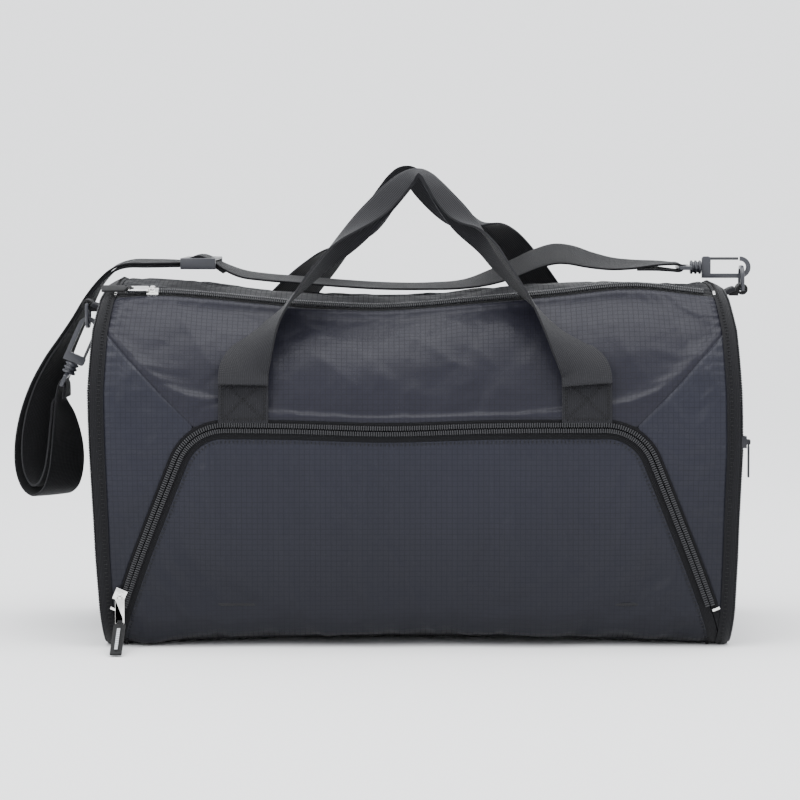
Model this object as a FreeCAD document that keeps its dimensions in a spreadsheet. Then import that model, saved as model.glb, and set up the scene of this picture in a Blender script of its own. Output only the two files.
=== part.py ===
import FreeCAD, Part
import math
import os
from types import SimpleNamespace
import Sketcher
from FreeCAD import Placement, Rotation, Vector

# Soft duffel bag, millimetres. +X is the right end, +Y the back, +Z up; the origin is the middle
# of the base on the ground.

os.makedirs("parts", exist_ok=True)
doc = FreeCAD.newDocument("duffel_bag")

# ---------------------------------------------------------------- sizes
SIZES = [
    ("bag_length", 500, "over the coils of the two end zips"),
    ("bag_depth", 250, "front to back at the widest"),
    ("bag_height", 276, "base to the flat of the top"),
    ("base_corner", 30, "radius where the base turns up"),
    ("top_corner", 108, "radius of the arched top"),
    ("cloth", 2, "thickness of a lined cloth panel"),
    ("end_band", 10, "width of the end zip tape seen from the front"),
    ("face_band", 14, "width of the end zip on the end face"),
    ("end_zip_inset", 5.2, "end zip line in from the rim of the end"),
    ("coil_width", 6, "zip coil across"),
    ("coil_height", 2.5, "zip coil above its tape"),
    ("tape_gap", 0.4, "between the two tapes of a zip"),
    ("tape_width", 10, "one zip tape of the pocket"),
    ("main_stop_inset", 8, "main coil short of the end band"),
    ("main_zip_angle", 25, "degrees of the main zip ahead of the top"),
    ("main_zip_spread", 14, "degrees of arch that its two tapes take"),
    ("rear_seam_angle", 32, "degrees of the rear seam behind the top"),
    ("pocket_foot_margin", 8.5, "foot of the pocket zip line, in from the end of the bag"),
    ("pocket_crown_margin", 79, "top of the pocket zip line, in from the end of the bag"),
    ("pocket_corner", 40, "radius of its two corners"),
    ("pocket_space", 12, "room inside the front pocket"),
    ("pocket_start", 32, "height where the pocket coil ends"),
    ("webbing", 38, "width of handle and shoulder webbing"),
    ("webbing_thick", 2, "thickness of the webbing"),
    ("anchor_spread", 261, "between the middles of a handle's anchors"),
    ("anchor_gap", 1, "anchor above the coil of the pocket"),
    ("anchor_length", 34, "anchor up the cloth"),
    ("handle_lift", 2, "swing line of a handle above its anchors"),
    ("handle_standoff", 5.2, "of the swing line from the arched cloth"),
    ("handle_rise", 157, "grip's middle line above the swing line"),
    ("handle_part", 52, "between the two grips at the peak"),
    ("grip_width", 20, "webbing folded lengthwise in the grip"),
    ("grip_thick", 5, "thickness of the folded grip"),
    ("slider_length", 9, "zip slider along its zip"),
    ("slider_wall", 1.5, "slider plate thickness"),
    ("play", 0.3, "between a slider and its coil"),
    ("slider_side", 1.2, "slider wall beside its coil"),
    ("lug_gap", 2.6, "between the two lugs of a slider"),
    ("lug_length", 4, "lug along the slider"),
    ("lug_wall", 1.2, "thickness of a lug"),
    ("lug_height", 3, "lug above the slider plate"),
    ("pin_radius", 0.7, "pull pin"),
    ("pin_play", 0.08, "between pin and lug hole"),
    ("pin_rise", 1.6, "pin above the slider plate"),
    ("pull_width", 7, "metal pull across"),
    ("pull_thick", 1.2, "metal pull thickness"),
    ("pull_play", 0.2, "between a pull and each lug"),
    ("pull_hub", 1.3, "radius of a pull around its pin"),
    ("pull_neck", 2.9, "narrow part of a pull between the lugs"),
    ("pull_frame", 1.5, "pull around its window"),
    ("pull_window", 3, "window of a pull along it"),
    ("main_pull", 19, "length of the main zip's pull"),
    ("pocket_pull", 22, "length of the pocket zip's pull"),
    ("end_pull", 27, "length of an end zip's pull"),
    ("tab_width", 9, "cloth tab across"),
    ("tab_thick", 1.6, "cloth tab thickness"),
    ("tab_bore", 1.5, "inside radius of a tab's loop"),
    ("tab_wall", 0.9, "cord of a tab's loop"),
    ("main_tab", 21, "length of the main zip's tab"),
    ("pocket_tab", 50, "length of the pocket zip's tab"),
    ("main_rest", 45, "main slider in from the left end"),
    ("pocket_rest", 41, "height of the pocket slider"),
    ("right_end_rest", 157, "height of the right end's slider"),
    ("left_end_rest", 60, "height of the left end's slider"),
    ("ring_width", 29, "D-ring along its bar"),
    ("ring_bar", 3, "D-ring bar, square"),
    ("ring_reach", 20, "D-ring from bar to bow, outside"),
    ("ring_out", 10, "D-ring bar clear of the end face"),
    ("right_ring_drop", 7.5, "right D-ring bar below the top"),
    ("left_ring_drop", 20, "left D-ring bar below the top"),
    ("ring_play", 0.3, "between D-ring bar and its tab"),
    ("ring_tab", 20, "ring tab across"),
    ("ring_corner", 11, "outer corner of a D-ring's bow"),
    ("hook_bore", 5, "inside radius of a hook's nose"),
    ("hook_wall", 3.5, "hook around its nose"),
    ("hook_plate", 5, "hook thickness"),
    ("hook_reach", 26, "nose middle to the gate pivot"),
    ("hook_slack", 1.3, "hook's nose off the middle of its D-ring bar"),
    ("left_hook_lean", 24, "degrees that the left hook hangs outwards"),
    ("hook_block", 7, "block that holds the gate and the stud"),
    ("gate_radius", 1.1, "gate rod"),
    ("gate_cover", 0.6, "hook's edge beyond the gate rod"),
    ("swivel_radius", 4.2, "swivel barrel"),
    ("swivel_length", 9, "swivel barrel"),
    ("stud_radius", 2, "hook stud inside the swivel"),
    ("strap_ring", 10, "strap ring along the hook"),
    ("strap_ring_bar", 2.8, "bars of the strap ring"),
    ("strap_ring_side", 3.5, "strap ring beyond each edge of the webbing"),
    ("strap_rise", 13, "strap above the flat of the top at the buckle"),
    ("strap_clear", 3, "strap behind the left D-ring"),
    ("buckle_length", 28, "strap buckle along the strap"),
    ("buckle_bar", 4, "bars of the strap buckle"),
    ("buckle_wall", 2, "bar height of the strap buckle"),
    ("buckle_rest", 78, "middle of the buckle in from the left end"),
    ("return_end", 104, "end of the strap's return layer in from the left end"),
]

sheet = doc.addObject("Spreadsheet::Sheet", "Sizes")
for row, (name, number, note) in enumerate(SIZES, 1):
    sheet.set(f"A{row}", note)
    sheet.set(f"B{row}", str(number))
    sheet.setAlias(f"B{row}", name)
doc.recompute()
size = SimpleNamespace(**{name: float(sheet.get(name)) for name, _, _ in SIZES})
NAMES = sorted((name for name, _, _ in SIZES), key=len, reverse=True)

FAR = 2000.0
half_depth = size.bag_depth / 2
end_face = size.bag_length / 2 - size.coil_height
cloth_end = size.bag_length / 2 - size.end_band - size.cloth
arch_y = half_depth - size.top_corner
arch_z = size.bag_height - size.top_corner
pocket_top = arch_z
tube = "bag_length - 2 * end_band - 2 * cloth"


# ---------------------------------------------------------------- drawing helpers
def bound(text):
    """An expression over the names in the table of sizes, as the document spells it."""
    words = text.split(" ")
    return " ".join("Sizes." + word if word in NAMES else word for word in words)


def rounded(corners):
    """A closed outline from (x, y, radius) corners, as lines and arcs in order."""
    count = len(corners)
    starts = []
    ends = []
    arcs = []
    for i in range(count):
        here = Vector(corners[i][0], corners[i][1], 0)
        before = Vector(corners[i - 1][0], corners[i - 1][1], 0)
        after = Vector(corners[(i + 1) % count][0], corners[(i + 1) % count][1], 0)
        into = (here - before).normalize()
        out = (after - here).normalize()
        turn = math.atan2(into.x * out.y - into.y * out.x, into.dot(out))
        radius = corners[i][2]
        if radius <= 0 or abs(turn) < 1e-6:
            starts.append(here)
            ends.append(here)
            arcs.append(None)
            continue
        reach = radius * math.tan(abs(turn) / 2)
        first = here - into * reach
        last = here + out * reach
        side = Vector(-into.y, into.x, 0) * (1 if turn > 0 else -1)
        middle = first + side * radius
        top = here - middle
        crown = middle + top.normalize() * radius
        starts.append(first)
        ends.append(last)
        # A sketch keeps its arcs anticlockwise, so one that turns the other way is given reversed.
        arcs.append(Part.Arc(first, crown, last) if turn > 0 else Part.Arc(last, crown, first))
    edges = []
    for i in range(count):
        if arcs[i]:
            edges.append(arcs[i])
        far = starts[(i + 1) % count]
        if (far - ends[i]).Length > 1e-4:
            edges.append(Part.LineSegment(ends[i], far))
    return edges


def band(path, left, right):
    """Corners of an open path (x, y, radius) made thick: left of its run and right of it."""
    upper = []
    lower = []
    for i, (x, y, radius) in enumerate(path):
        here = Vector(x, y, 0)
        into = out = None
        if i > 0:
            into = (here - Vector(path[i - 1][0], path[i - 1][1], 0)).normalize()
        if i < len(path) - 1:
            out = (Vector(path[i + 1][0], path[i + 1][1], 0) - here).normalize()
        into = into or out
        out = out or into
        turn = math.atan2(into.x * out.y - into.y * out.x, into.dot(out))
        lean = (into + out).normalize()
        side = Vector(-lean.y, lean.x, 0) * (1 / math.cos(turn / 2))
        hand = 1 if turn > 0 else -1
        high = here + side * left
        low = here - side * right
        upper.append((high.x, high.y, max(radius - hand * left, 0) if radius else 0))
        lower.append((low.x, low.y, max(radius + hand * right, 0) if radius else 0))
    return upper + lower[::-1]


def rectangle(x0, x1, y0, y1):
    return [(x0, y0, 0), (x1, y0, 0), (x1, y1, 0), (x0, y1, 0)]


def circle(x, y, radius):
    return [Part.Circle(Vector(x, y, 0), Vector(0, 0, 1), radius)]


def new_body(node):
    body = doc.addObject("PartDesign::Body", node)
    body.Label = node
    return body


def draw(body, plane, loops, offset=None):
    """A sketch on one of the body's own planes; a loop is a corner list or a list of edges."""
    sketch = body.newObject("Sketcher::SketchObject", f"{body.Name}_sketch")
    origin = next(item for item in body.Origin.OriginFeatures if item.Role == plane)
    sketch.AttachmentSupport = [(origin, "")]
    sketch.MapMode = "FlatFace"
    if offset:
        sketch.AttachmentOffset = offset
    for loop in loops:
        edges = rounded(loop) if isinstance(loop[0], tuple) else loop
        first = sketch.GeometryCount
        for edge in edges:
            sketch.addGeometry(edge)
        count = len(edges)
        if count == 1:
            continue
        for i in range(count):
            here = edges[i]
            after = edges[(i + 1) % count]
            ends = [(here.EndPoint, 2), (here.StartPoint, 1)]
            starts = [(after.StartPoint, 1), (after.EndPoint, 2)]
            pair = min(
                ((a, b) for a in ends for b in starts),
                key=lambda both: (both[0][0] - both[1][0]).Length,
            )
            sketch.addConstraint(
                Sketcher.Constraint(
                    "Coincident", first + i, pair[0][1], first + (i + 1) % count, pair[1][1]
                )
            )
    return sketch


def pad(body, plane, loops, length, offset=None):
    """A symmetric pad; length is an expression over the sizes."""
    feature = body.newObject("PartDesign::Pad", f"{body.Name}_pad")
    feature.Profile = draw(body, plane, loops, offset)
    feature.SideType = "Symmetric"
    feature.setExpression("Length", bound(length))
    return feature


def cut(body, plane, loops, offset=None, length=None):
    """Take the loops out of the body, right through unless a length is given."""
    feature = body.newObject("PartDesign::Pocket", f"{body.Name}_cut")
    feature.Profile = draw(body, plane, loops, offset)
    feature.SideType = "Symmetric"
    if length:
        feature.setExpression("Length", bound(length))
    else:
        feature.Length = 2 * FAR
    return feature


def keep(body, plane, outline):
    """Take away everything outside one outline."""
    return cut(body, plane, [rectangle(-2 * FAR, 2 * FAR, -2 * FAR, 2 * FAR), outline])


def shift(along):
    return Placement(Vector(0, 0, along), Rotation())


# ---------------------------------------------------------------- section of the bag
def section(inset):
    """Outline of the bag across its length, drawn in by inset."""
    side = half_depth - inset
    top = size.bag_height - inset
    low = size.base_corner - inset
    high = size.top_corner - inset
    return [(side, inset, low), (side, top, high), (-side, top, high), (-side, inset, low)]


def arch_point(angle, lift, hand=-1):
    """(y, z) at degrees from the top, lift above the cloth; hand -1 is the front."""
    reach = size.top_corner + lift
    turn = math.radians(angle)
    return hand * (arch_y + reach * math.sin(turn)), arch_z + reach * math.cos(turn)


def wall_point(height, lift):
    """y of the front cloth at a height on or below the arch, lift out of it."""
    rise = max(height - arch_z, 0)
    reach = size.top_corner + lift
    return -arch_y - math.sqrt(reach ** 2 - rise ** 2)


def wedge(first, last):
    """Part of the section between two spokes of the arch, degrees, front negative."""
    corners = [(0, arch_z - 1, 0)]
    for angle in (first, last):
        hand = -1 if angle < 0 else 1
        corners.append((hand * arch_y, arch_z, 0))
        far = arch_point(abs(angle), FAR / 4, hand)
        corners.append((far[0], far[1], 0))
    if first < 0 < last:
        return [corners[1], corners[2], corners[4], corners[3]]
    return [corners[1], corners[2], corners[4]]


main_front = size.main_zip_angle + size.main_zip_spread / 2
main_rear = size.main_zip_angle - size.main_zip_spread / 2


def side_region(hand, angle):
    """Front (-1) or back (1) of the section, from the base up to a spoke of the arch."""
    flat = half_depth - size.base_corner
    far = arch_point(angle, FAR / 4, hand)
    corners = [(hand * flat, -FAR / 4, 0), (hand * flat, arch_z, 0), (hand * arch_y, arch_z, 0)]
    corners += [(far[0], far[1], 0), (hand * FAR, far[1], 0), (hand * FAR, -FAR / 4, 0)]
    return corners


def skin(node, region):
    """Cloth of the tube of the bag, kept inside one region of its section."""
    body = new_body(node)
    pad(body, "YZ_Plane", [section(0), section(size.cloth)], tube)
    keep(body, "YZ_Plane", region)
    return body


# ---------------------------------------------------------------- front pocket outline
pocket_foot = size.bag_length - 2 * size.pocket_foot_margin
pocket_crown = size.bag_length - 2 * size.pocket_crown_margin
slant = math.atan2((pocket_foot - pocket_crown) / 2, pocket_top)


def pocket_line(outset, foot):
    """Closed outline of the pocket zip line moved out by outset, closed off at height foot."""
    out = outset / math.cos(slant)
    top = pocket_top + outset
    wide = pocket_foot / 2 + out
    radius = size.pocket_corner + outset
    low = wide - foot * math.tan(slant)
    high = wide - top * math.tan(slant)
    return [(-low, foot, 0), (low, foot, 0), (high, top, radius), (-high, top, radius)]


# ---------------------------------------------------------------- cloth panels
front = side_region(-1, main_front)
upper_outline = [(-FAR, FAR, 0), (0, 0, 0), (FAR, FAR, 0)]
left_outline = [(-FAR, FAR, 0), (-FAR, -FAR, 0), (0, -FAR, 0), (0, 0, 0)]
right_outline = [(-x, y, 0) for x, y, _ in left_outline[::-1]]
around_pocket = pocket_line(size.tape_width, -size.base_corner)

for node, outline in (
    ("front_upper_panel", upper_outline),
    ("front_left_gore", left_outline),
    ("front_right_gore", right_outline),
):
    panel = skin(node, front)
    keep(panel, "XZ_Plane", outline)
    cut(panel, "XZ_Plane", [around_pocket])

pocket_panel = skin("pocket_panel", front)
keep(pocket_panel, "XZ_Plane", pocket_line(-size.tape_width, -size.base_corner))

for node, outer, inner in (
    ("pocket_zip_outer_tape", size.tape_width, size.tape_gap / 2),
    ("pocket_zip_inner_tape", -size.tape_gap / 2, -size.tape_width),
):
    tape = skin(node, front)
    keep(tape, "XZ_Plane", pocket_line(outer, -size.base_corner))
    cut(tape, "XZ_Plane", [pocket_line(inner, -FAR / 8)])

skin("back_panel", side_region(1, size.rear_seam_angle))
skin("top_panel", wedge(-main_rear, size.rear_seam_angle))

base = new_body("base_panel")
base_flat = half_depth - size.base_corner
pad(base, "YZ_Plane", [rectangle(-base_flat, base_flat, 0, size.cloth)], tube)

# The inner wall of the pocket is a shallow tray behind the front cloth.
tray_depth = size.pocket_space + size.cloth
tray_middle = half_depth - size.cloth - tray_depth / 2
tray_foot = size.base_corner + size.cloth
lining = new_body("pocket_lining")
pad(lining, "XZ_Plane", [pocket_line(0, tray_foot)], "pocket_space + cloth", shift(tray_middle))
hollow = pocket_line(-size.cloth, tray_foot + size.cloth)
cut(lining, "XZ_Plane", [hollow], shift(tray_middle + size.cloth), "pocket_space + cloth")

# ---------------------------------------------------------------- pocket zip
coil = new_body("pocket_zip_coil")
coil_half = size.coil_width / 2
coil_middle = half_depth + size.coil_height / 2
pad(coil, "XZ_Plane", [pocket_line(coil_half, size.pocket_start)], "coil_height", shift(coil_middle))
cut(coil, "XZ_Plane", [pocket_line(-coil_half, -FAR / 8)])


def pocket_track(height):
    """x of the pocket zip line on its straight left run."""
    return -(pocket_foot / 2 - height * math.tan(slant))


def on_pocket_track(height, hand):
    """Frame on the pocket zip: local x up its straight run, z out of the cloth."""
    lean = Rotation(Vector(0, 1, 0), -hand * math.degrees(slant))
    upright = Rotation(Vector(0, 0, 1), Vector(0, 0, 0), Vector(0, -1, 0), "ZXY")
    spot = Vector(-hand * pocket_track(height), -half_depth, height)
    return Placement(spot, lean.multiply(upright))


stop_outline = rectangle(-coil_half, coil_half, 0, size.coil_height)
stop_drop = size.cloth / 2 * math.cos(slant) + coil_half * math.sin(slant)
for node, hand in (("pocket_zip_left_stop", -1), ("pocket_zip_right_stop", 1)):
    stop = new_body(node)
    pad(stop, "YZ_Plane", [stop_outline], "cloth")
    stop.Placement = on_pocket_track(size.pocket_start - stop_drop, hand)

# ---------------------------------------------------------------- main zip
gap_angle = math.degrees(size.tape_gap / 2 / size.top_corner)
middle_angle = size.main_zip_angle
skin("main_zip_front_tape", wedge(-main_front, -middle_angle - gap_angle))
skin("main_zip_rear_tape", wedge(-middle_angle + gap_angle, -main_rear))

# Along the arch's spoke: local y across the zip, local z out of the cloth.
main_y, main_z = arch_point(middle_angle, 0)
main_turn = Rotation(Vector(1, 0, 0), size.main_zip_angle)
main_reach = cloth_end - size.main_stop_inset
main_coil = new_body("main_zip_coil")
pad(main_coil, "YZ_Plane", [stop_outline], f"{tube} - 2 * main_stop_inset")
main_coil.Placement = Placement(Vector(0, main_y, main_z), main_turn)
for node, hand in (("main_zip_left_stop", -1), ("main_zip_right_stop", 1)):
    stop = new_body(node)
    pad(stop, "YZ_Plane", [stop_outline], "cloth")
    stop.Placement = Placement(
        Vector(hand * (main_reach + size.cloth / 2), main_y, main_z), main_turn
    )

# ---------------------------------------------------------------- end zips and end panels
for hand, side in ((-1, "left"), (1, "right")):
    band_middle = hand * (cloth_end + end_face) / 2
    outer_tape = new_body(f"{side}_end_zip_outer_tape")
    pad(
        outer_tape,
        "YZ_Plane",
        [section(0), section(size.cloth)],
        "end_band + cloth - coil_height",
        shift(band_middle),
    )
    flange = hand * (end_face - size.cloth / 2)
    zip_line = size.end_zip_inset
    pad(
        outer_tape,
        "YZ_Plane",
        [section(size.cloth / 2), section(zip_line - size.tape_gap / 2)],
        "cloth",
        shift(flange),
    )
    inner_tape = new_body(f"{side}_end_zip_inner_tape")
    pad(
        inner_tape,
        "YZ_Plane",
        [section(zip_line + size.tape_gap / 2), section(size.face_band)],
        "cloth",
        shift(flange),
    )
    end_coil = new_body(f"{side}_end_zip_coil")
    pad(
        end_coil,
        "YZ_Plane",
        [section(zip_line - size.coil_width / 2), section(zip_line + size.coil_width / 2)],
        "coil_height",
        shift(hand * (end_face + size.coil_height / 2)),
    )
    end_panel = new_body(f"{side}_end_panel")
    pad(end_panel, "YZ_Plane", [section(size.face_band)], "cloth", shift(flange))


# ---------------------------------------------------------------- zip sliders and pulls
slider_top = size.coil_height + size.play + size.slider_wall
pin_height = slider_top + size.pin_rise
slider_half = size.coil_width / 2 + size.play + size.slider_side


def slider(node, place, swing=0.0):
    """Slider over a coil: local x along the zip, z out of the cloth, lugs turned by swing."""
    body = new_body(node)
    inside = size.coil_width / 2 + size.play
    roof = size.coil_height + size.play
    outline = [(-slider_half, size.play), (-slider_half, slider_top), (slider_half, slider_top)]
    outline += [(slider_half, size.play), (inside, size.play), (inside, roof)]
    outline += [(-inside, roof), (-inside, size.play)]
    pad(body, "YZ_Plane", [[(a, b, 0) for a, b in outline]], "slider_length")
    turned = Placement(Vector(0, 0, 0), Rotation(Vector(0, 1, 0), swing))
    head = slider_top + size.lug_height
    root = slider_top - size.slider_wall / 3
    half = size.lug_length / 2
    lug = [(-half, root, 0), (half, root, 0), (half, head, 1), (-half, head, 1)]
    bore = circle(0, pin_height, size.pin_radius + size.pin_play)
    pad(body, "XZ_Plane", [lug, bore], "lug_gap + 2 * lug_wall", turned)
    slot = rectangle(-half - 1, half + 1, slider_top, head + 1)
    cut(body, "XZ_Plane", [slot], turned, "lug_gap")
    body.Placement = place
    return body


def pull(node, place, length, window=True):
    """Metal pull lying along local -x from its pin, which lies along local y."""
    body = new_body(node)
    pad(body, "XZ_Plane", [circle(0, 0, size.pull_hub)], "lug_gap - 2 * pull_play")
    pad(body, "XZ_Plane", [circle(0, 0, size.pin_radius)], "lug_gap + 2 * lug_wall - pull_play")
    neck = size.lug_gap / 2 - size.pull_play
    wide = size.pull_width / 2
    near = -size.pull_neck
    lever = [(0, -neck, 0), (0, neck, 0), (near, neck, 0), (near, wide, 1)]
    lever += [(-length, wide, 1), (-length, -wide, 1), (near, -wide, 1), (near, -neck, 0)]
    loops = [lever]
    if window:
        far = -length + size.pull_frame
        side = wide - size.pull_frame
        loops.append(rectangle(far, far + size.pull_window, -side, side))
    pad(body, "XY_Plane", loops, "pull_thick")
    body.Placement = place
    return body


def tab(node, place, length):
    """Cloth tab looped through the window of a pull; the middle of the loop is its origin."""
    body = new_body(node)
    outer = size.tab_bore + size.tab_wall
    width = "pull_width - 2 * pull_frame - 2 * play"
    pad(body, "XZ_Plane", [circle(0, 0, outer), circle(0, 0, size.tab_bore)], width)
    near = -outer + size.tab_wall / 2
    neck = size.pull_width / 2 - size.pull_frame - size.play
    half = size.tab_width / 2
    flare = -outer - size.tab_thick
    tail = [(near, -neck, 0), (near, neck, 0), (flare, half, 0), (-length, half, 1)]
    tail += [(-length, -half, 1), (flare, -half, 0)]
    pad(body, "XY_Plane", [tail], "tab_thick")
    body.Placement = place
    return body


def on(place, x, y, z, turn=None):
    """A place given in the frame of another place."""
    return place.multiply(Placement(Vector(x, y, z), turn or Rotation()))


window_out = size.pull_frame / 2
main_place = Placement(Vector(-end_face + size.main_rest, main_y, main_z), main_turn)
slider("main_zip_slider", main_place)
main_pin = on(main_place, 0, 0, pin_height)
pull("main_zip_pull", main_pin, size.main_pull)
tab("main_zip_tab", on(main_pin, window_out - size.main_pull, 0, 0), size.main_tab)

pocket_place = on_pocket_track(size.pocket_rest, -1)
slider("pocket_zip_slider", pocket_place, math.degrees(slant))
pocket_pin = on(pocket_place, 0, 0, pin_height, Rotation(Vector(0, 0, 1), math.degrees(slant)))
pull("pocket_zip_pull", pocket_pin, size.pocket_pull)
# The long tab touches the ground near its tip, so it leans out from the bag.
tab_hinge = size.pocket_rest - size.pocket_pull + window_out
tab_lean = math.degrees(math.acos(min((tab_hinge - size.cloth) / size.pocket_tab, 1)))
tab_turn = Rotation(Vector(0, 1, 0), tab_lean)
tab_place = on(pocket_pin, window_out - size.pocket_pull, 0, 0, tab_turn)
tab("pocket_zip_tab", tab_place, size.pocket_tab)

end_line = half_depth - size.end_zip_inset
for hand, side, rest in ((1, "right", size.right_end_rest), (-1, "left", size.left_end_rest)):
    frame = Rotation(Vector(0, 0, 1), Vector(0, 1, 0), Vector(hand, 0, 0), "ZXY")
    end_place = Placement(Vector(hand * end_face, -hand * end_line, rest), frame)
    slider(f"{side}_end_zip_slider", end_place)
    pull(f"{side}_end_zip_pull", on(end_place, 0, 0, pin_height), size.end_pull, False)

# ---------------------------------------------------------------- handles
anchor_foot = pocket_top + coil_half + size.anchor_gap
anchor_head = anchor_foot + size.anchor_length
handle_axis = anchor_head + size.handle_lift
for hand, row in ((-1, "front"), (1, "rear")):
    for way, side in ((-1, "left"), (1, "right")):
        anchor = new_body(f"{row}_{side}_anchor")
        spot = way * size.anchor_spread / 2
        loops = [section(-size.webbing_thick), section(0)]
        pad(anchor, "YZ_Plane", loops, "webbing", shift(spot))
        near = hand * half_depth / 2
        far = hand * half_depth * 2
        part = rectangle(min(near, far), max(near, far), anchor_foot, anchor_head)
        keep(anchor, "YZ_Plane", part)

axis_y = wall_point(handle_axis, size.handle_standoff)


def ribbon(sections):
    """Webbing through (middle, across, through, width, thickness) sections."""
    wires = []
    for middle, across, through, width, thick in sections:
        corners = []
        for a, b in ((-1, -1), (1, -1), (1, 1), (-1, 1)):
            corners.append(middle + across * (a * width / 2) + through * (b * thick / 2))
        wires.append(Part.makePolygon(corners + [corners[0]]))
    return Part.makeLoft(wires, True, True)


def handle(node, hand):
    """One carrying handle, standing up and leaning in; hand -1 is the front one."""
    foot = Vector(0, hand * -axis_y, handle_axis)
    peak = Vector(0, hand * size.handle_part / 2, handle_axis + size.handle_rise)
    rise = peak - foot
    up = Vector(rise).normalize()
    side = Vector(1, 0, 0)
    normal = side.cross(up) * -hand
    spread = size.anchor_spread / 2
    # (share of spread, share of rise, share of the twist from flat to on edge, folded)
    stations = [(1.0, 0.0, 0.0, 0), (0.95, 0.14, 0.0, 0), (0.80, 0.30, 0.2, 0)]
    stations += [(0.65, 0.45, 0.35, 0), (0.50, 0.60, 0.65, 0), (0.35, 0.78, 1.0, 1)]
    stations += [(0.16, 0.95, 1.0, 1), (0.0, 1.0, 1.0, 1)]
    points = []
    for share, climb, twist, folded in stations:
        points.append((side * (-spread * share) + foot + rise * climb, twist, folded))
    for share, climb, twist, folded in stations[-2::-1]:
        points.append((side * (spread * share) + foot + rise * climb, twist, folded))
    sections = []
    for i, (middle, twist, folded) in enumerate(points):
        before = points[max(i - 1, 0)][0]
        after = points[min(i + 1, len(points) - 1)][0]
        run = (after - before).normalize()
        if i == 0 or i == len(points) - 1:
            run = up if i == 0 else up * -1
        flat = run.cross(normal).normalize() * -hand
        turn = math.radians(90 * twist)
        across = flat * math.cos(turn) + normal * math.sin(turn)
        through = run.cross(across).normalize()
        width = size.grip_width if folded else size.webbing
        thick = size.grip_thick if folded else size.webbing_thick
        sections.append((middle, across, through, width, thick))
    feature = doc.addObject("Part::Feature", node)
    feature.Label = node
    feature.Shape = ribbon(sections)
    return feature


handle("front_handle", -1)
handle("rear_handle", 1)

# ---------------------------------------------------------------- D-rings and their tabs
bar_x = end_face + size.ring_out
bow_middle = size.ring_reach - size.ring_bar
RINGS = {
    "right": (1, size.bag_height - size.right_ring_drop),
    "left": (-1, size.bag_height - size.left_ring_drop),
}
for side, (hand, bar_z) in RINGS.items():
    # The right ring stands up from its bar, the left one hangs down.
    way = hand
    ring = new_body(f"{side}_d_ring")
    half = size.ring_width / 2
    low = -size.ring_bar / 2
    high = size.ring_reach - size.ring_bar / 2
    outer = [(-half, way * low, 0), (half, way * low, 0)]
    outer += [(half, way * high, size.ring_corner), (-half, way * high, size.ring_corner)]
    inset = size.ring_bar
    inner_corner = size.ring_corner - inset
    inner = [(-half + inset, way * -low, 0), (half - inset, way * -low, 0)]
    inner += [(half - inset, way * (high - inset), inner_corner)]
    inner += [(-half + inset, way * (high - inset), inner_corner)]
    pad(ring, "YZ_Plane", [outer, inner], "ring_bar")
    ring.Placement = Placement(Vector(hand * bar_x, 0, bar_z), Rotation())

    ring_loop = size.ring_bar / 2 * math.sqrt(2) + size.ring_play
    keeper = new_body(f"{side}_ring_tab")
    loop_wall = ring_loop + size.webbing_thick
    pad(
        keeper,
        "XZ_Plane",
        [circle(hand * bar_x, bar_z, loop_wall), circle(hand * bar_x, bar_z, ring_loop)],
        "ring_tab",
    )
    # The folded webbing comes straight out of the seam beside the end zip.
    stub_z = bar_z - loop_wall + size.ring_play + size.webbing_thick / 2
    stub = rectangle(
        min(hand * end_face, hand * (bar_x - size.ring_bar)),
        max(hand * end_face, hand * (bar_x - size.ring_bar)),
        stub_z - size.webbing_thick,
        stub_z + size.webbing_thick,
    )
    pad(keeper, "XZ_Plane", [stub], "ring_tab")

# ---------------------------------------------------------------- hooks
hook_out = size.hook_bore + size.hook_wall
gate_line = hook_out - size.gate_radius - size.gate_cover
pivot_x = size.hook_reach
block_start = pivot_x - (size.hook_block - size.ring_bar) + 1
base_end = block_start + size.hook_block


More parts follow.
